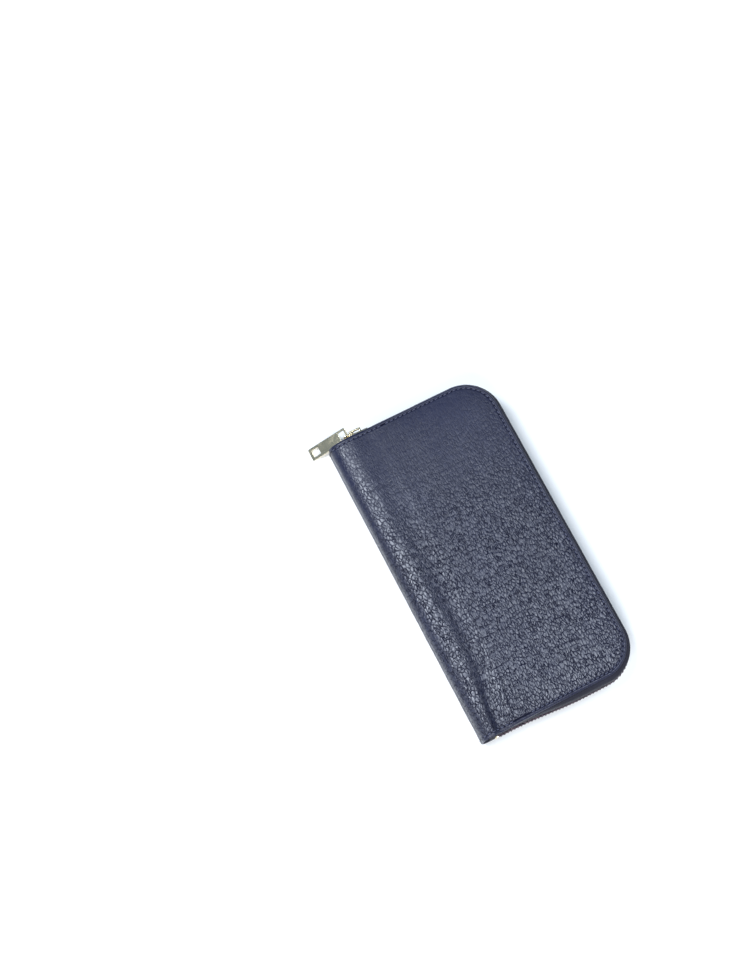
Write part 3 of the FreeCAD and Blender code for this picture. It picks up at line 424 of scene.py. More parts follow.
def pebbled_grain():
    """Tumbled cowhide: pebbles parted by fine creases, drawn out along the hide."""
    sockets = [
        ("Place", "Vector", None),
        ("Pebble mm", "Float", 1.3),
        ("Stretch", "Float", 1.5),
        ("Firmness", "Float", 1.0),
    ]
    results = [("Height", "Float"), ("Crease", "Float"), ("Pebble", "Float")]
    tree, given, out = new_group("pebbled grain", sockets, results)
    in_mm = in_millimetres(tree, given["Place"])
    wander = noise_texture(tree, in_mm, 0.30, 2.0, 0.55)
    shift = vector_maths(tree, "SUBTRACT", wander["Color"], (0.5, 0.5, 0.5))
    moved = vector_maths(tree, "MULTIPLY_ADD", shift, (1.3, 1.6, 0.0), in_mm)
    across = maths(tree, "DIVIDE", 1.0, given["Pebble mm"])
    along = maths(tree, "DIVIDE", across, given["Stretch"])
    shape = node(tree, "ShaderNodeCombineXYZ", {"X": across, "Y": along, "Z": across}).outputs[0]
    cells = {"Vector": scaled(tree, moved, shape), "Scale": 1.0, "Randomness": 0.95}
    edge = node(tree, "ShaderNodeTexVoronoi", cells, voronoi_dimensions="2D", feature="DISTANCE_TO_EDGE")
    centre = node(tree, "ShaderNodeTexVoronoi", cells, voronoi_dimensions="2D", feature="F1")
    pores = noise_texture(tree, in_mm, 2.6, 3.0, 0.6)
    crease = ramp(tree, edge.outputs["Distance"], 0.0, 0.20, 1.0, 0.0)
    parted = ramp(tree, wander["Fac"], 0.35, 0.60, 0.35, 0.85)
    crease = maths(tree, "MULTIPLY", crease, parted)
    drawn = noise_texture(tree, scaled(tree, in_mm, (0.50, 0.13, 0.50)), 1.0, 2.0, 0.6)
    fold = maths(tree, "SUBTRACT", drawn["Fac"], 0.5)
    fold = ramp(tree, maths(tree, "ABSOLUTE", fold), 0.0, 0.032, 1.0, 0.0)
    crease = maths(tree, "MAXIMUM", crease, fold)
    round_top = maths(tree, "MULTIPLY_ADD", centre.outputs["Distance"], -0.55, 0.75)
    height = maths(tree, "MULTIPLY_ADD", crease, -0.62, round_top)
    height = maths(tree, "MULTIPLY_ADD", pores["Fac"], 0.20, height)
    height = maths(tree, "MULTIPLY", height, given["Firmness"])
    tree.links.new(height, out["Height"])
    tree.links.new(crease, out["Crease"])
    tone = node(tree, "ShaderNodeSeparateColor", {"Color": centre.outputs["Color"]}).outputs[0]
    tree.links.new(tone, out["Pebble"])
    return tree


def woven_threads():
    """A plain or herringbone weave: height, and a mask of the gaps between threads."""
    sockets = [("Place", "Vector", None), ("Thread mm", "Float", 0.3), ("Slant", "Float", 0.0)]
    tree, given, out = new_group("woven threads", sockets, [("Height", "Float"), ("Gap", "Float")])
    in_mm = in_millimetres(tree, given["Place"])
    parts = node(tree, "ShaderNodeSeparateXYZ", {"Vector": in_mm}).outputs
    turn = maths(tree, "DIVIDE", math.pi, given["Thread mm"])
    zigzag = maths(tree, "PINGPONG", parts["X"], 1.5)
    leaning = maths(tree, "MULTIPLY_ADD", zigzag, given["Slant"], parts["Y"])
    warp = maths(tree, "ABSOLUTE", maths(tree, "SINE", maths(tree, "MULTIPLY", parts["X"], turn)))
    weft = maths(tree, "ABSOLUTE", maths(tree, "SINE", maths(tree, "MULTIPLY", leaning, turn)))
    height = maths(tree, "MULTIPLY", maths(tree, "POWER", warp, 0.6), maths(tree, "POWER", weft, 0.6))
    fuzz = noise_texture(tree, in_mm, 3.0, 2.0)
    height = maths(tree, "MULTIPLY_ADD", fuzz["Fac"], 0.25, height)
    tree.links.new(height, out["Height"])
    tree.links.new(ramp(tree, height, 0.15, 0.6, 1.0, 0.0), out["Gap"])
    return tree


def handled_metal():
    """Hairline scratches in two directions and soft smudges on plated metal."""
    sockets = [("Place", "Vector", None), ("Wear", "Float", 0.5)]
    tree, given, out = new_group("handled metal", sockets, [("Scratch", "Float"), ("Smudge", "Float")])
    in_mm = in_millimetres(tree, given["Place"])
    lines = noise_texture(tree, scaled(tree, in_mm, (0.5, 9, 9)), 1.0, 4.0)
    cross = noise_texture(tree, scaled(tree, in_mm, (7, 0.6, 7)), 1.0, 3.0)
    smudge = noise_texture(tree, in_mm, 0.35, 3.0)
    both = maths(tree, "ADD", lines["Fac"], cross["Fac"])
    tree.links.new(maths(tree, "MULTIPLY", both, given["Wear"]), out["Scratch"])
    tree.links.new(ramp(tree, smudge["Fac"], 0.42, 0.68), out["Smudge"])
    return tree


# ------------------------------------------------------------------ materials


def new_material(name):
    """A material's tree and its Principled shader."""
    material = bpy.data.materials.new(name)
    material.use_nodes = True
    tree = material.node_tree
    return material, tree, tree.nodes["Principled BSDF"]


def object_place(tree):
    """The place on the piece, in metres."""
    return tree.nodes.new("ShaderNodeTexCoord").outputs["Object"]


def cut_uv(tree):
    """The place on the flat, cut piece, in metres."""
    return node(tree, "ShaderNodeUVMap", uv_map="cut").outputs["UV"]


def bumped(tree, shader, height, depth):
    """Feeds a height, in metres of depth, to the shader's normal."""
    made = node(tree, "ShaderNodeBump", {"Height": height, "Distance": depth, "Strength": 1.0})
    tree.links.new(made.outputs["Normal"], shader.inputs["Normal"])


def set_shader(shader, **values):
    """Sets the shader's constant values."""
    for name, value in values.items():
        shader.inputs[name.replace("_", " ")].default_value = value


NAVY = (0.009, 0.011, 0.034, 1)
# Painted shade: the colour that the creases and the stitched groove are darkened towards.
NAVY_PAINTED_SHADE = (0.0022, 0.0028, 0.010, 1)
NAVY_CREST = (0.015, 0.018, 0.048, 1)


def leather_material(name, grain, pebble, stretch, depth, roughness, from_cut):
    """Navy leather: painted shade in the creases and the stitched groove, a varied crest and a satin
    finish.
    """
    material, tree, shader = new_material(name)
    place = cut_uv(tree) if from_cut else object_place(tree)
    firmness = 1.0
    if from_cut:
        firmness = node(tree, "ShaderNodeAttribute", attribute_name="grain_depth").outputs["Fac"]
    sockets = {"Place": place, "Pebble mm": pebble, "Stretch": stretch, "Firmness": firmness}
    hide = use_group(tree, grain, sockets)
    patches = noise_texture(tree, scaled(tree, place, (26, 18, 26)), 1.0, 3.0)
    tone = ramp(tree, patches["Fac"], 0.3, 0.7)
    tone = maths(tree, "MULTIPLY_ADD", hide["Pebble"], 0.35, maths(tree, "MULTIPLY", tone, 0.65))
    colour = blend_colours(tree, tone, NAVY, NAVY_CREST)
    # Painted shade: the colour darkens in the grain's creases, where shade falls; the same mask also
    # roughens them and lowers their shine.
    dark = maths(tree, "MULTIPLY", hide["Crease"], firmness)
    if from_cut:
        # Painted shade along the stitched groove, from the seam attribute.
        seam = node(tree, "ShaderNodeAttribute", attribute_name="seam").outputs["Fac"]
        dark = maths(tree, "MAXIMUM", dark, seam)
    colour = blend_colours(tree, maths(tree, "MULTIPLY", dark, 0.9), colour, NAVY_PAINTED_SHADE)
    tree.links.new(colour, shader.inputs["Base Color"])
    sheen = maths(tree, "MULTIPLY_ADD", firmness, 0.55, 0.31)
    shine = maths(tree, "MULTIPLY", sheen, maths(tree, "MULTIPLY_ADD", dark, -0.9, 1.0))
    tree.links.new(shine, shader.inputs["Specular IOR Level"])
    rough = maths(tree, "MULTIPLY_ADD", dark, 0.25, roughness)
    rough = maths(tree, "MULTIPLY_ADD", hide["Pebble"], 0.06, rough)
    tree.links.new(rough, shader.inputs["Roughness"])
    bumped(tree, shader, hide["Height"], depth)
    return material


def cloth_material(name, weave, colour, thread, slant, depth, from_cut, sheen=0.25):
    """Woven cloth: darker between the threads, a little lighter in patches."""
    material, tree, shader = new_material(name)
    place = cut_uv(tree) if from_cut else object_place(tree)
    cloth = use_group(tree, weave, {"Place": place, "Thread mm": thread, "Slant": slant})
    shade = tuple(0.35 * c for c in colour[:3]) + (1,)
    fade = noise_texture(tree, scaled(tree, place, (60, 60, 60)), 1.0, 2.0)
    lit = tuple(1.35 * c for c in colour[:3]) + (1,)
    mixed = blend_colours(tree, ramp(tree, fade["Fac"], 0.35, 0.65), colour, lit)
    mixed = blend_colours(tree, cloth["Gap"], mixed, shade)
    tree.links.new(mixed, shader.inputs["Base Color"])
    bumped(tree, shader, cloth["Height"], depth)
    set_shader(shader, Roughness=0.82, Sheen_Weight=sheen, Sheen_Roughness=0.4)
    return material


def metal_material(name, worn, colour, tarnish, roughness, wear):
    """Plated metal, duller and darker where it is smudged."""
    material, tree, shader = new_material(name)
    marks = use_group(tree, worn, {"Place": object_place(tree), "Wear": wear})
    share = maths(tree, "MULTIPLY", marks["Smudge"], min(1.0, wear))
    tree.links.new(blend_colours(tree, share, colour, tarnish), shader.inputs["Base Color"])
    rough = maths(tree, "MULTIPLY_ADD", marks["Smudge"], 0.10 * wear, roughness)
    tree.links.new(rough, shader.inputs["Roughness"])
    bumped(tree, shader, marks["Scratch"], 0.006 * MM)
    set_shader(shader, Metallic=1.0)
    return material


def board_material():
    """Grey-brown bonded board with flecks of fibre."""
    material, tree, shader = new_material("bonded board")
    place = object_place(tree)
    flecks = noise_texture(tree, scaled(tree, place, (900, 300, 900)), 1.0, 4.0)
    share = ramp(tree, flecks["Fac"], 0.4, 0.65)
    colour = blend_colours(tree, share, (0.24, 0.19, 0.14, 1), (0.36, 0.31, 0.24, 1))
    tree.links.new(colour, shader.inputs["Base Color"])
    bumped(tree, shader, flecks["Fac"], 0.05 * MM)
    set_shader(shader, Roughness=0.9)
    return material


def thread_material():
    """Navy twisted thread: the ply shows as slanting ridges."""
    material, tree, shader = new_material("sewing thread")
    in_mm = in_millimetres(tree, object_place(tree))
    waves = {"Vector": in_mm, "Scale": 0.9, "Distortion": 0.6, "Detail": 1.0}
    ply = node(tree, "ShaderNodeTexWave", waves, bands_direction="DIAGONAL")
    colour = blend_colours(tree, ply.outputs["Fac"], (0.035, 0.040, 0.080, 1), (0.11, 0.12, 0.20, 1))
    tree.links.new(colour, shader.inputs["Base Color"])
    bumped(tree, shader, ply.outputs["Fac"], 0.06 * MM)
    set_shader(shader, Roughness=0.5, Sheen_Weight=0.2)
    return material


GRAIN = pebbled_grain()
WEAVE = woven_threads()
WORN = handled_metal()
PALE_GOLD = (0.88, 0.78, 0.57, 1)
DULL_GOLD = (0.74, 0.63, 0.42, 1)
# The zip teeth's dark metal is partly their own dark finish and partly painted shade of the zip's shaded
# side.
DARK_METAL_AND_SHADE = (0.11, 0.08, 0.095, 1)
DULL_DARK_METAL = (0.05, 0.035, 0.055, 1)
LINING_NAVY = (0.030, 0.033, 0.055, 1)
# The main zip tape's navy is partly its own colour and partly painted shade where it lies under the
# leather's edge; it is darker than the coin tape.
TAPE_NAVY_AND_SHADE = (0.009, 0.009, 0.020, 1)
COIN_TAPE_NAVY = (0.018, 0.020, 0.045, 1)
MATERIALS = {
    "outer_leather": leather_material("pebbled navy leather", GRAIN, 1.5, 2.0, 0.22 * MM, 0.31, True),
    "inner_leather": leather_material("smooth navy leather", GRAIN, 0.8, 1.2, 0.05 * MM, 0.46, False),
    "lining": cloth_material("navy lining", WEAVE, LINING_NAVY, 0.35, 0.0, 0.05 * MM, False),
    "zip_tape": cloth_material("navy zip tape", WEAVE, TAPE_NAVY_AND_SHADE, 0.45, 1.0, 0.09 * MM, True, 0.03),
    "coin_tape": cloth_material("navy coin zip tape", WEAVE, COIN_TAPE_NAVY, 0.4, 1.0, 0.07 * MM, False),
    "board": board_material(),
    "thread": thread_material(),
    # The darkness of the zip metal is partly painted shade.
    "zip_metal": metal_material("dark gold zip", WORN, DARK_METAL_AND_SHADE, DULL_DARK_METAL, 0.40, 0.8),
    "gold_metal": metal_material("pale gold plate", WORN, PALE_GOLD, DULL_GOLD, 0.15, 0.35),
}


# -------------------------------------------------------------- outer leather


def across_spine(piece):
    """Bakes the piece's placement into its mesh."""
    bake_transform(piece)


def outer_skin(cover):
    """Half of the one-piece hide: half the spine, and the whole of one cover."""
    columns, rows = cut_columns(), cut_rows()
    sign = side_of(cover)
    bm = grid_piece(
        columns,
        rows,
        lambda p, y: cover_point(cover, p, y),
        lambda p, y: (sign * cut_place(p, y)[0], y),
    )
    bmesh.ops.recalc_face_normals(bm, faces=bm.faces)
    if sum(face.normal.z for face in bm.faces) * sign < 0:
        bmesh.ops.reverse_faces(bm, faces=bm.faces)
    skin = new_piece(f"{cover}_cover_leather", bm, slot="outer_leather", replaces=[f"{cover}_leather"])
    depth = skin.data.attributes.new("grain_depth", "FLOAT", "POINT")
    # The seam attribute is a painted shade mask along the stitched groove.
    seam = skin.data.attributes.new("seam", "FLOAT", "POINT")
    for vert, grain, shade in zip(skin.data.vertices, depth.data, seam.data):
        x, y = vert.co.x, vert.co.y
        inward = from_edge(*square_place(x, y))
        firm = 1 - 0.65 * smooth(y, 5 * MM, 92 * MM)
        mottle = noise.noise(Vector((x, y, 1.9)) / MOTTLE_WAVE)
        rim = min(1.0, 0.3 + inward / (4 * MM))
        grain.value = rim * min(1.1, max(0.25, firm + 0.15 * mottle))
        shade.value = 0.9 * bump(inward, STITCH_INSET, SEAM_SHADE_HALF)
    thicken(skin, LEATHER)
    across_spine(skin)


def square_place(x, y):
    """The square-cornered place whose distance from the edge is this point's."""
    across, along = x - (EDGE_X - CORNER), abs(y) - (END_Y - CORNER)
    if across > 0 and along > 0:
        return EDGE_X - CORNER + math.hypot(across, along), 0
    return x, y


# ------------------------------------------------------------- along the edge


def rim_length(outset):
    """Length of the edge line between the two spine ends, moved out by outset."""
    radius = CORNER + outset
    return 2 * (EDGE_X - CORNER) + 2 * END_Y - 2 * CORNER + math.pi * radius


def rim_place(along, outset=0.0):
    """A point on the edge line and its direction, from x = 0 at the -Y end."""
    radius = CORNER + outset
    flat_x, flat_y = EDGE_X - CORNER, END_Y - CORNER
    quarter = math.pi / 2 * radius
    if along <= flat_x:
        return along, -END_Y - outset, 0.0
    along -= flat_x
    if along <= quarter:
        turn = along / radius
        return flat_x + radius * math.sin(turn), -flat_y - radius * math.cos(turn), turn
    along -= quarter
    if along <= 2 * flat_y:
        return EDGE_X + outset, -flat_y + along, math.pi / 2
    along -= 2 * flat_y
    if along <= quarter:
        turn = along / radius
        return flat_x + radius * math.cos(turn), flat_y + radius * math.sin(turn), math.pi / 2 + turn
    return flat_x - (along - quarter), END_Y + outset, math.pi


def across_zip_end(piece):
    """Bakes the piece's placement into its mesh."""
    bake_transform(piece)


# ------------------------------------------------------------ edge stitching


THREAD_LENGTH = 1.12 * MM
THREAD_WIDTH = 0.27 * MM
THREAD_DIP = 0.16 * MM
THREAD_STAND = 0.33 * MM
STITCH_LEAN = math.radians(5)


def stitch_shape():
    """One stitch along X: a plump thread that dips at both ends."""
    bm = bmesh.new()
    bmesh.ops.create_uvsphere(bm, u_segments=6, v_segments=5, radius=1)
    bmesh.ops.rotate(bm, verts=bm.verts, cent=(0, 0, 0), matrix=Matrix.Rotation(math.pi / 2, 3, "Y"))
    for vert in bm.verts:
        x = math.copysign(abs(vert.co.x) ** 0.7, vert.co.x)
        high = vert.co.z * THREAD_WIDTH - THREAD_DIP * x * x
        vert.co = (x * THREAD_LENGTH, vert.co.y * THREAD_WIDTH, high)
    return bm


def repeat_shape(shape, matrices):
    """One bmesh with a copy of the shape at each matrix."""
    mesh = bpy.data.meshes.new("one")
    shape.to_mesh(mesh)
    shape.free()
    bm = bmesh.new()
    for matrix in matrices:
        done = len(bm.verts)
        bm.from_mesh(mesh)
        bm.verts.ensure_lookup_table()
        bmesh.ops.transform(bm, matrix=matrix, verts=bm.verts[done:])
    bpy.data.meshes.remove(mesh)
    return bm


def frame_at(place, along, up):
    """A matrix whose X runs along a direction and whose Z points up from a face."""
    along = along.normalized()
    side = up.cross(along).normalized()
    up = along.cross(side)
    matrix = Matrix((along, side, up)).transposed().to_4x4()
    matrix.translation = place
    return matrix


def cover_stitching(cover):
    """A row of stitches in the groove round the zip's three sides, over the roll too."""
    sign = side_of(cover)
    lift = -0.02 * MM
    outset = -STITCH_INSET
    high = MIDDLE_Z + sign * (HALF_THICK - GROOVE_DEPTH + THREAD_STAND)
    places = []
    count = int(rim_length(outset) / STITCH_PITCH)
    for n in range(-6, count + 7):
        x, y, turn = rim_place(n * STITCH_PITCH, outset)
        if x < panel_x(PANEL_AT, y):
            continue
        along = Vector((math.cos(turn + STITCH_LEAN), math.sin(turn + STITCH_LEAN), 0))
        places.append(frame_at(Vector((x, y, high)), along, Vector((0, 0, sign))))
    for end in (-1, 1):
        y = end * (END_Y - STITCH_INSET)
        last, walked, step = cover_point(cover, PANEL_AT, y), 0.0, 0.01
        p = PANEL_AT - step
        while p > 1.2:
            here = cover_point(cover, p, y, lift)
            walked += (here - last).length
            if walked > STITCH_PITCH:
                along = last - here
                up = Vector((-along.z, 0, along.x)) * sign
                if up.z * sign < 0 or up.x > 0 and p < 2:
                    up.negate()
                places.append(frame_at(here + up.normalized() * THREAD_STAND, along, up.normalized()))
                walked = 0.0
            last = here
            p -= step
    bm = repeat_shape(stitch_shape(), places)
    row = new_piece(f"{cover}_edge_stitches", bm, slot="thread", replaces=[f"{cover}_stitching"])
    across_spine(row)


# ------------------------------------------------------------------- main zip

TOOTH_OUT = 1.5 * MM
BOTTOM_BULGE = 0.8 * MM
TOP_PULL = 1.25 * MM
BOW_START_X = SPINE_X + 20 * MM
BOW_FULL_X = SPINE_X + 65 * MM
TAPE_THICKNESS = 0.55 * MM
TOOTH_PITCH = 2.2 * MM
FRONT_HEAD = 2.8 * MM
BACK_HEAD = 2.1 * MM
TOOTH_EDGE = 0.17 * MM


def bow(x):
    """The share of its bulge that the zip has: none beside the spine."""
    return smooth(x, BOW_START_X, BOW_FULL_X)


def zip_line(along, outset):
    """A place on the zip, which bows outwards away from the spine."""
    x, y, turn = rim_place(along)
    facing = math.cos(turn)
    bulge = TOOTH_OUT + BOTTOM_BULGE * max(0.0, facing) - TOP_PULL * max(0.0, -facing)
    out = outset + bulge * bow(x)
    return x + out * math.sin(turn), y - out * math.cos(turn), turn


def zip_range(first_x, last_x):
    """The distances along the edge line between two places near the spine."""
    return first_x, rim_length(0) - last_x


def zip_tape(cover):
    """Woven tape from under the leather's edge, bowing out and down to the teeth."""
    sign = side_of(cover)
    profile = [
        (-6.5 * MM, 10.45), (-4.5 * MM, 10.45), (-2.6 * MM, 10.45), (-1.2 * MM, 10.4), (-0.45 * MM, 10.1),
        (-0.05 * MM, 9.5), (0.15 * MM, 8.6), (0.3 * MM, 7.4), (0.4 * MM, 6.0), (0.42 * MM, 4.6),
        (0.35 * MM, 3.4), (0.2 * MM, 2.5), (0.05 * MM, 2.0), (0.0, 1.7),
    ]
    lengths = [0.0]
    for (a, h), (b, k) in zip(profile, profile[1:]):
        lengths.append(lengths[-1] + math.hypot(b - a, (k - h) * MM))

    def place(along, v):
        outset, high = profile[lengths.index(v)]
        x = rim_place(along)[0]
        near_spine = min(1.0, max(0.0, (x - SPINE_X - 15 * MM) / (10 * MM)))
        if near_spine < 1 and high > 5.5:
            high = 5.5 + (high - 5.5) * near_spine
            outset *= near_spine
        x, y, _ = zip_line(along, outset - (1 - bow(x)) * 0.5 * MM)
        return Vector((x, y, MIDDLE_Z + sign * high * MM))

    low, high = zip_range(SPINE_X + 5 * MM, SPINE_X + 5 * MM)
    bm = grid_piece(spread(low, high, 1.4 * MM), lengths, place)
    bmesh.ops.recalc_face_normals(bm, faces=bm.faces)
    tape = new_piece(f"{cover}_tape", bm, slot="zip_tape", replaces=[f"{cover}_zip_tape"])
    thicken(tape, TAPE_THICKNESS, 0)
    across_zip_end(tape)


def tooth_shape(sign):
    """One tooth, standing up in Z: legs on the tape and a rounded, wider head."""
    head_width = FRONT_HEAD if sign > 0 else BACK_HEAD
    bm = bmesh.new()
    bmesh.ops.create_cube(bm, size=1)
    for vert in bm.verts:
        head = vert.co.z * sign < 0
        width, length = (head_width, 1.0 * MM) if head else (0.8 * head_width, 0.85 * MM)
        high = -0.55 * MM if head else 2.25 * MM
        vert.co = (vert.co.x * length, vert.co.y * width, sign * high)
    bmesh.ops.bevel(
        bm,
        geom=bm.edges,
        offset=TOOTH_EDGE,
        segments=1,
        profile=0.5,
        affect="EDGES",
        material=-1,
    )
    return bm


def zip_teeth(cover):
    """One row of metal teeth, half a pitch from the other row."""
    sign = side_of(cover)
    low, high = zip_range(SPINE_X + 10.7 * MM, SPINE_X + 19.6 * MM)
    shift = 0.5 * TOOTH_PITCH if cover == "front" else 0.0
    places = []
    count = int((high - low - shift) / TOOTH_PITCH)
    for n in range(count + 1):
        along = low + shift + n * TOOTH_PITCH
        x, y, turn = zip_line(along, 0.0)
        matrix = Matrix.Rotation(turn, 4, "Z")
        matrix.translation = Vector((x, y, MIDDLE_Z))
        places.append(matrix)
    bm = repeat_shape(tooth_shape(sign), places)
    row = new_piece(f"{cover}_teeth", bm, slot="zip_metal", replaces=[f"{cover}_zip_teeth"], smooth=False)
    across_zip_end(row)


# ------------------------------------------------- pieces refined from the CAD


def solid_copy(name):
    """A clean bmesh of a CAD node: doubles merged and flat faces joined."""
    bm = bmesh.new()
    bm.from_mesh(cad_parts[name].data)
    bmesh.ops.remove_doubles(bm, verts=bm.verts, dist=0.002 * MM)
    angle = math.radians(1)
    bmesh.ops.dissolve_limit(bm, angle_limit=angle, verts=bm.verts, edges=bm.edges)
    return bm


def refined(name, slot, body, edge, segments=2, finish=None):
    """A copy of a CAD node with its edges rounded."""
    bm = solid_copy(name)
    limit = math.radians(30)
    edges = [e for e in bm.edges if len(e.link_faces) == 2 and e.calc_face_angle(0) > limit]
    bmesh.ops.bevel(
        bm,
        geom=edges,
        offset=edge,
        segments=segments,
        profile=0.5,
        affect="EDGES",
        material=-1,
        clamp_overlap=True,
    )
    sharpen(bm, 50)
    piece = new_piece(f"{name}_finished", bm, body=body, slot=slot, replaces=[name], finish=finish)
    shading = piece.modifiers.new("even_shading", "WEIGHTED_NORMAL")
    shading.keep_sharp = True


def metal_fittings():
    """Slider, bail, ring, pull tab and the stops of the main zip."""
    refined("slider_body", "gold_metal", "main_slider", 0.22 * MM, 3)
    refined("slider_bail", "gold_metal", "main_slider", 0.42 * MM, 4)
    refined("puller_link", "gold_metal", "puller_link", 0.42 * MM, 4)
    refined("puller_tab", "gold_metal", "puller_tab", 0.38 * MM, 4)
    refined("zip_bottom_stop", "gold_metal", "middle", 0.4 * MM, 3)
    for cover in ("back", "front"):
        refined(f"{cover}_top_stop", "gold_metal", "middle", 0.25 * MM, 3)


# -------------------------------------------------------- inside of the covers


MOUTH_INSET = 1.6 * MM
SIDE_INSET = 1.5 * MM
COIN_SIDE_INSET = 1.4 * MM


def stitch_line(name, body, runs):
    """Straight runs of stitches: each run is (start, finish, up)."""
    places = []
    for start, finish, up in runs:
        start, finish = Vector(start), Vector(finish)
        span = finish - start
        count = max(1, round(span.length / STITCH_PITCH))
        for n in range(count):
            middle = start + span * ((n + 0.5) / count)
            places.append(frame_at(middle, span, Vector(up)))
    new_piece(name, repeat_shape(stitch_shape(), places), body=body, slot="thread")


def card_pockets(cover):
    """Three stepped pockets in each of two columns, stitched down at their sides."""
    sign = side_of(cover)
    inward = Vector((0, 0, -sign))
    runs = []
    for column in ("lower", "upper"):
        for leaf in (1, 2, 3):
            name = f"{cover}_card_pocket_{column}_{leaf}"
            refined(name, "inner_leather", cover, 0.22 * MM, 3)
            low, high = (Vector(corner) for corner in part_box(name))
            face = (low.z if sign > 0 else high.z) + inward.z * 0.02 * MM
            mouth = high.x - MOUTH_INSET
            near_y, far_y = low.y + SIDE_INSET, high.y - SIDE_INSET
            runs.append(((mouth, near_y, face), (mouth, far_y, face), inward))
            if leaf == 3:
                near = low.x + SIDE_INSET
                for y in (near_y, far_y):
                    runs.append(((near, y, face), (mouth, y, face), inward))
    stitch_line(f"{cover}_pocket_stitches", cover, runs)


def lining_sheet(name, body):
    """A flat fabric lining: the CAD lining with its own outline, copied with its flat faces joined."""
    bm = solid_copy(name)
    sheet = new_piece(f"{name}_cloth", bm, body=body, slot="lining", replaces=[name])
    volume = bm_volume(sheet)


def bm_volume(piece):
    """The volume of a piece's mesh."""
    bm = bmesh.new()
    bm.from_mesh(piece.data)
    volume = abs(bm.calc_volume())
    bm.free()
    return volume


def cover_inside(cover):
    """Board, lining, slip panel and pockets on the inside of a cover."""
    sign = side_of(cover)
    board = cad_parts[f"{cover}_board"]
    board.data.materials.clear()
    board.data.materials.append(MATERIALS["board"])
    lining_sheet(f"{cover}_lining", cover)
    refined(f"{cover}_slip_panel", "inner_leather", cover, 0.2 * MM, 3)
    card_pockets(cover)
    low, high = (Vector(corner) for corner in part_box(f"{cover}_slip_panel"))
    face = low.z if sign > 0 else high.z
    up = (0, 0, -sign)
    edge = high.x - MOUTH_INSET
    reach = high.y - CORNER
    stitch_line(f"{cover}_slip_stitches", cover, [((edge, -reach, face), (edge, reach, face), up)])


def gusset(cover, end):
    """A pleated leather gusset: a leaf on the cover, a leaf on the coin pocket, and the fold."""
    name = f"{cover}_gusset_{end}"
    low, high = (Vector(corner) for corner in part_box(name))
    thickness = 0.35 * MM
    sign = side_of(cover)
    side = high.y if end == "top" else low.y
    deep = low.y if end == "top" else high.y
    inward = math.copysign(thickness, deep - side)
    on_cover = (high.z if sign > 0 else low.z) - sign * thickness / 2
    on_coin = (low.z if sign > 0 else high.z) + sign * thickness / 2

    def place(u, v):
        fold = Vector((low.x, side + inward, 0)).lerp(Vector((high.x, deep, 0)), u)
        seam = Vector((fold.x, side, 0))
        if v <= 1:
            point = seam.lerp(fold, v)
            point.z = on_coin
        elif v <= 2:
            point = fold
            point.z = on_coin + (on_cover - on_coin) * (v - 1)
        else:
            point = fold.lerp(seam, v - 2)
            point.z = on_cover
        return point

    across = spread(0, 1, 0.34) + spread(1, 2, 0.1)[1:] + spread(2, 3, 0.34)[1:]
    bm = grid_piece(spread(0, 1, 0.05), across, place)
    bmesh.ops.remove_doubles(bm, verts=bm.verts, dist=0.01 * MM)
    bmesh.ops.recalc_face_normals(bm, faces=bm.faces)
    pleat = new_piece(f"{name}_pleat", bm, slot="inner_leather", replaces=[name])
    thicken(pleat, thickness, 0)
    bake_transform(pleat)


def spine_lining():
    """The fabric that lines the rolled spine: two halves that meet at the hinge height."""
    low, high = (Vector(corner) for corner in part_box("spine_lining"))
    radius = high.x - low.x
    inset = 0.2 * MM
    for cover in ("back", "front"):
        sign = side_of(cover)
        straight = (high.z - low.z) / 2 - radius

        def place(v, y):
            if v <= straight:
                return Vector((low.x + inset, y, MIDDLE_Z + sign * v))
            turn = (v - straight) / radius
            reach = radius - inset
            x = low.x + inset + reach * (1 - math.cos(turn))
            return Vector((x, y, MIDDLE_Z + sign * (straight + reach * math.sin(turn))))

        round_end = straight + radius * math.pi / 2
        v_values = spread(0, straight, 1 * MM) + spread(straight, round_end, 0.6 * MM)[1:]
        bm = grid_piece(v_values, spread(low.y, high.y, 2 * MM), place)
        bmesh.ops.recalc_face_normals(bm, faces=bm.faces)
        half = new_piece(f"{cover}_spine_cloth", bm, slot="lining", replaces=["spine_lining"])
        thicken(half, 0.35 * MM, 0)
        across_spine(half)


# ----------------------------------------------------------------- coin pocket


def coin_pocket():
    """The zipped pocket between the two note compartments."""
    runs = []
    for cover in ("back", "front"):
        sign = side_of(cover)
        name = f"coin_{cover}_panel"
        refined(name, "inner_leather", "middle", 0.2 * MM, 3)
        lining_sheet(f"coin_{cover}_lining", "middle")
        refined(f"coin_{cover}_tape", "zip_tape", "middle", 0.1 * MM, 1, finish="coin_tape")
        refined(f"coin_{cover}_teeth", "zip_metal", "middle", 0.14 * MM, 1)
        refined(f"coin_{cover}_top_stop", "gold_metal", "middle", 0.2 * MM, 2)
        low, high = (Vector(corner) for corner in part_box(name))
        face = high.z if sign > 0 else low.z
        up = (0, 0, sign)
        mouth, near = high.x - MOUTH_INSET, low.x + MOUTH_INSET
        side = high.y - COIN_SIDE_INSET
        runs.append(((mouth, -side, face), (mouth, side, face), up))
        for y in (-side, side):
            runs.append(((near, y, face), (mouth, y, face), up))
    stitch_line("coin_pocket_stitches", "middle", runs)
    refined("coin_side_wall", "inner_leather", "middle", 0.15 * MM, 2)
    refined("coin_bottom_stop", "gold_metal", "middle", 0.3 * MM, 2)
    refined("coin_slider_body", "gold_metal", "coin_slider", 0.2 * MM, 3)
    refined("coin_bail", "gold_metal", "coin_slider", 0.32 * MM, 3)
    refined("coin_puller", "gold_metal", "coin_puller", 0.22 * MM, 3)


# ------------------------------------------------------------- making it all

for cover in ("back", "front"):
    outer_skin(cover)
    cover_stitching(cover)
    cover_inside(cover)
    zip_tape(cover)
    zip_teeth(cover)
    for end in ("top", "bottom"):
        gusset(cover, end)
spine_lining()
metal_fittings()
coin_pocket()

# ------------------------------------------------------- floor, light, camera


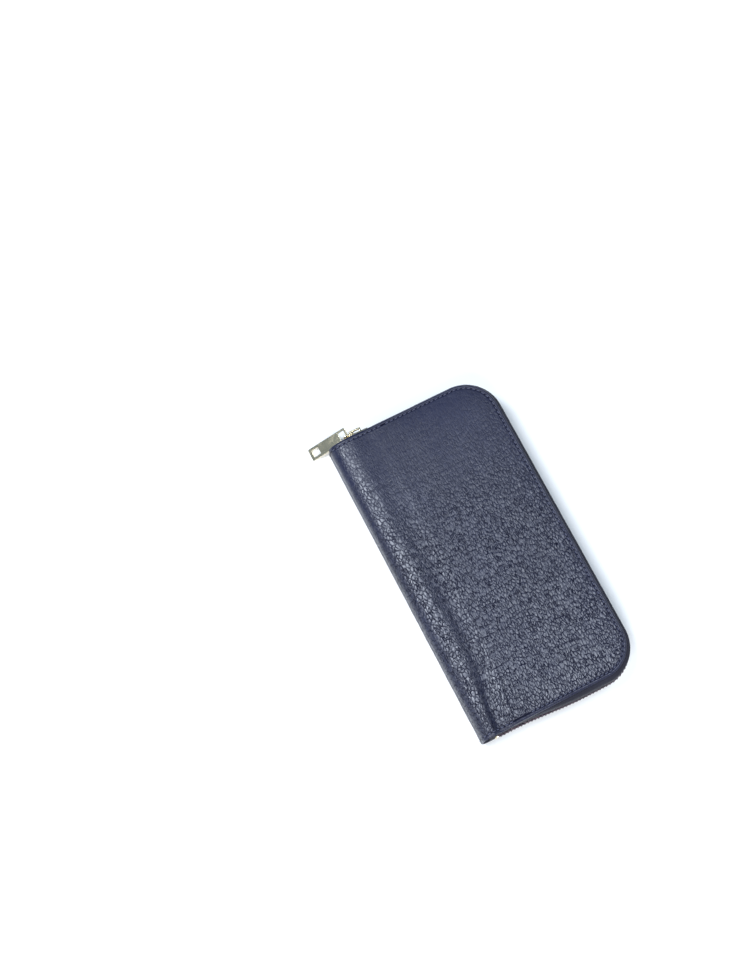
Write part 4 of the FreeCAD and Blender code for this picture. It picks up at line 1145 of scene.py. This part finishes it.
def pale_floor():
    """A large matt floor under the wallet."""
    material, tree, shader = new_material("pale floor")
    speckle = noise_texture(tree, object_place(tree), 40.0, 3.0)
    tint = blend_colours(tree, speckle["Fac"], (0.95, 0.95, 0.95, 1), (0.98, 0.98, 0.98, 1))
    tree.links.new(tint, shader.inputs["Base Color"])
    set_shader(shader, Roughness=0.9, Specular_IOR_Level=0.1)
    bm = bmesh.new()
    bmesh.ops.create_grid(bm, x_segments=1, y_segments=1, size=2.5)
    floor = new_piece("pale_floor", bm)
    floor.data.materials.append(material)


def area_light(name, place, target, size, power, colour=(1, 1, 1)):
    """A soft rectangular light that faces its target."""
    light = bpy.data.lights.new(name, "AREA")
    light.shape = "RECTANGLE"
    light.size, light.size_y = size
    light.energy = power
    light.color = colour
    lamp = bpy.data.objects.new(name, light)
    bpy.context.scene.collection.objects.link(lamp)
    lamp.location = place
    lamp.rotation_euler = (Vector(target) - Vector(place)).to_track_quat("-Z", "Y").to_euler()


def studio():
    """A soft overhead box, a strip along the spine side, and a dim surround."""
    cool = (0.84, 0.91, 1.0)
    area_light("overhead box", (0.50, -0.18, 1.9), (0.02, -0.02, 0), (0.8, 0.4), 19, cool)
    area_light("spine strip", (-0.82, 0.52, 1.9), (-0.04, 0.04, 0), (0.50, 0.8), 32, cool)
    area_light("broad fill", (-1.1, -1.4, 1.7), (0, 0, 0), (1.6, 1.2), 48)
    world = bpy.data.worlds.new("dim studio")
    world.use_nodes = True
    world.node_tree.nodes["Background"].inputs["Color"].default_value = (0.45, 0.62, 0.76, 1)
    world.node_tree.nodes["Background"].inputs["Strength"].default_value = 0.22
    bpy.context.scene.world = world
    bpy.context.scene.view_settings.view_transform = "Standard"


def camera():
    """Nearly overhead, turned so that the spine runs from upper left to lower right."""
    lens = bpy.data.cameras.new("camera")
    lens.sensor_fit = "HORIZONTAL"
    lens.sensor_width = 36
    lens.lens = 86.4
    lens.clip_start = 0.05
    eye = bpy.data.objects.new("camera", lens)
    bpy.context.scene.collection.objects.link(eye)
    eye.location = (-0.1934, -0.1721, 1.0429)
    eye.rotation_euler = [math.radians(turn) for turn in (15.527, -1.719, -27.229)]
    bpy.context.scene.camera = eye


pale_floor()
studio()
camera()
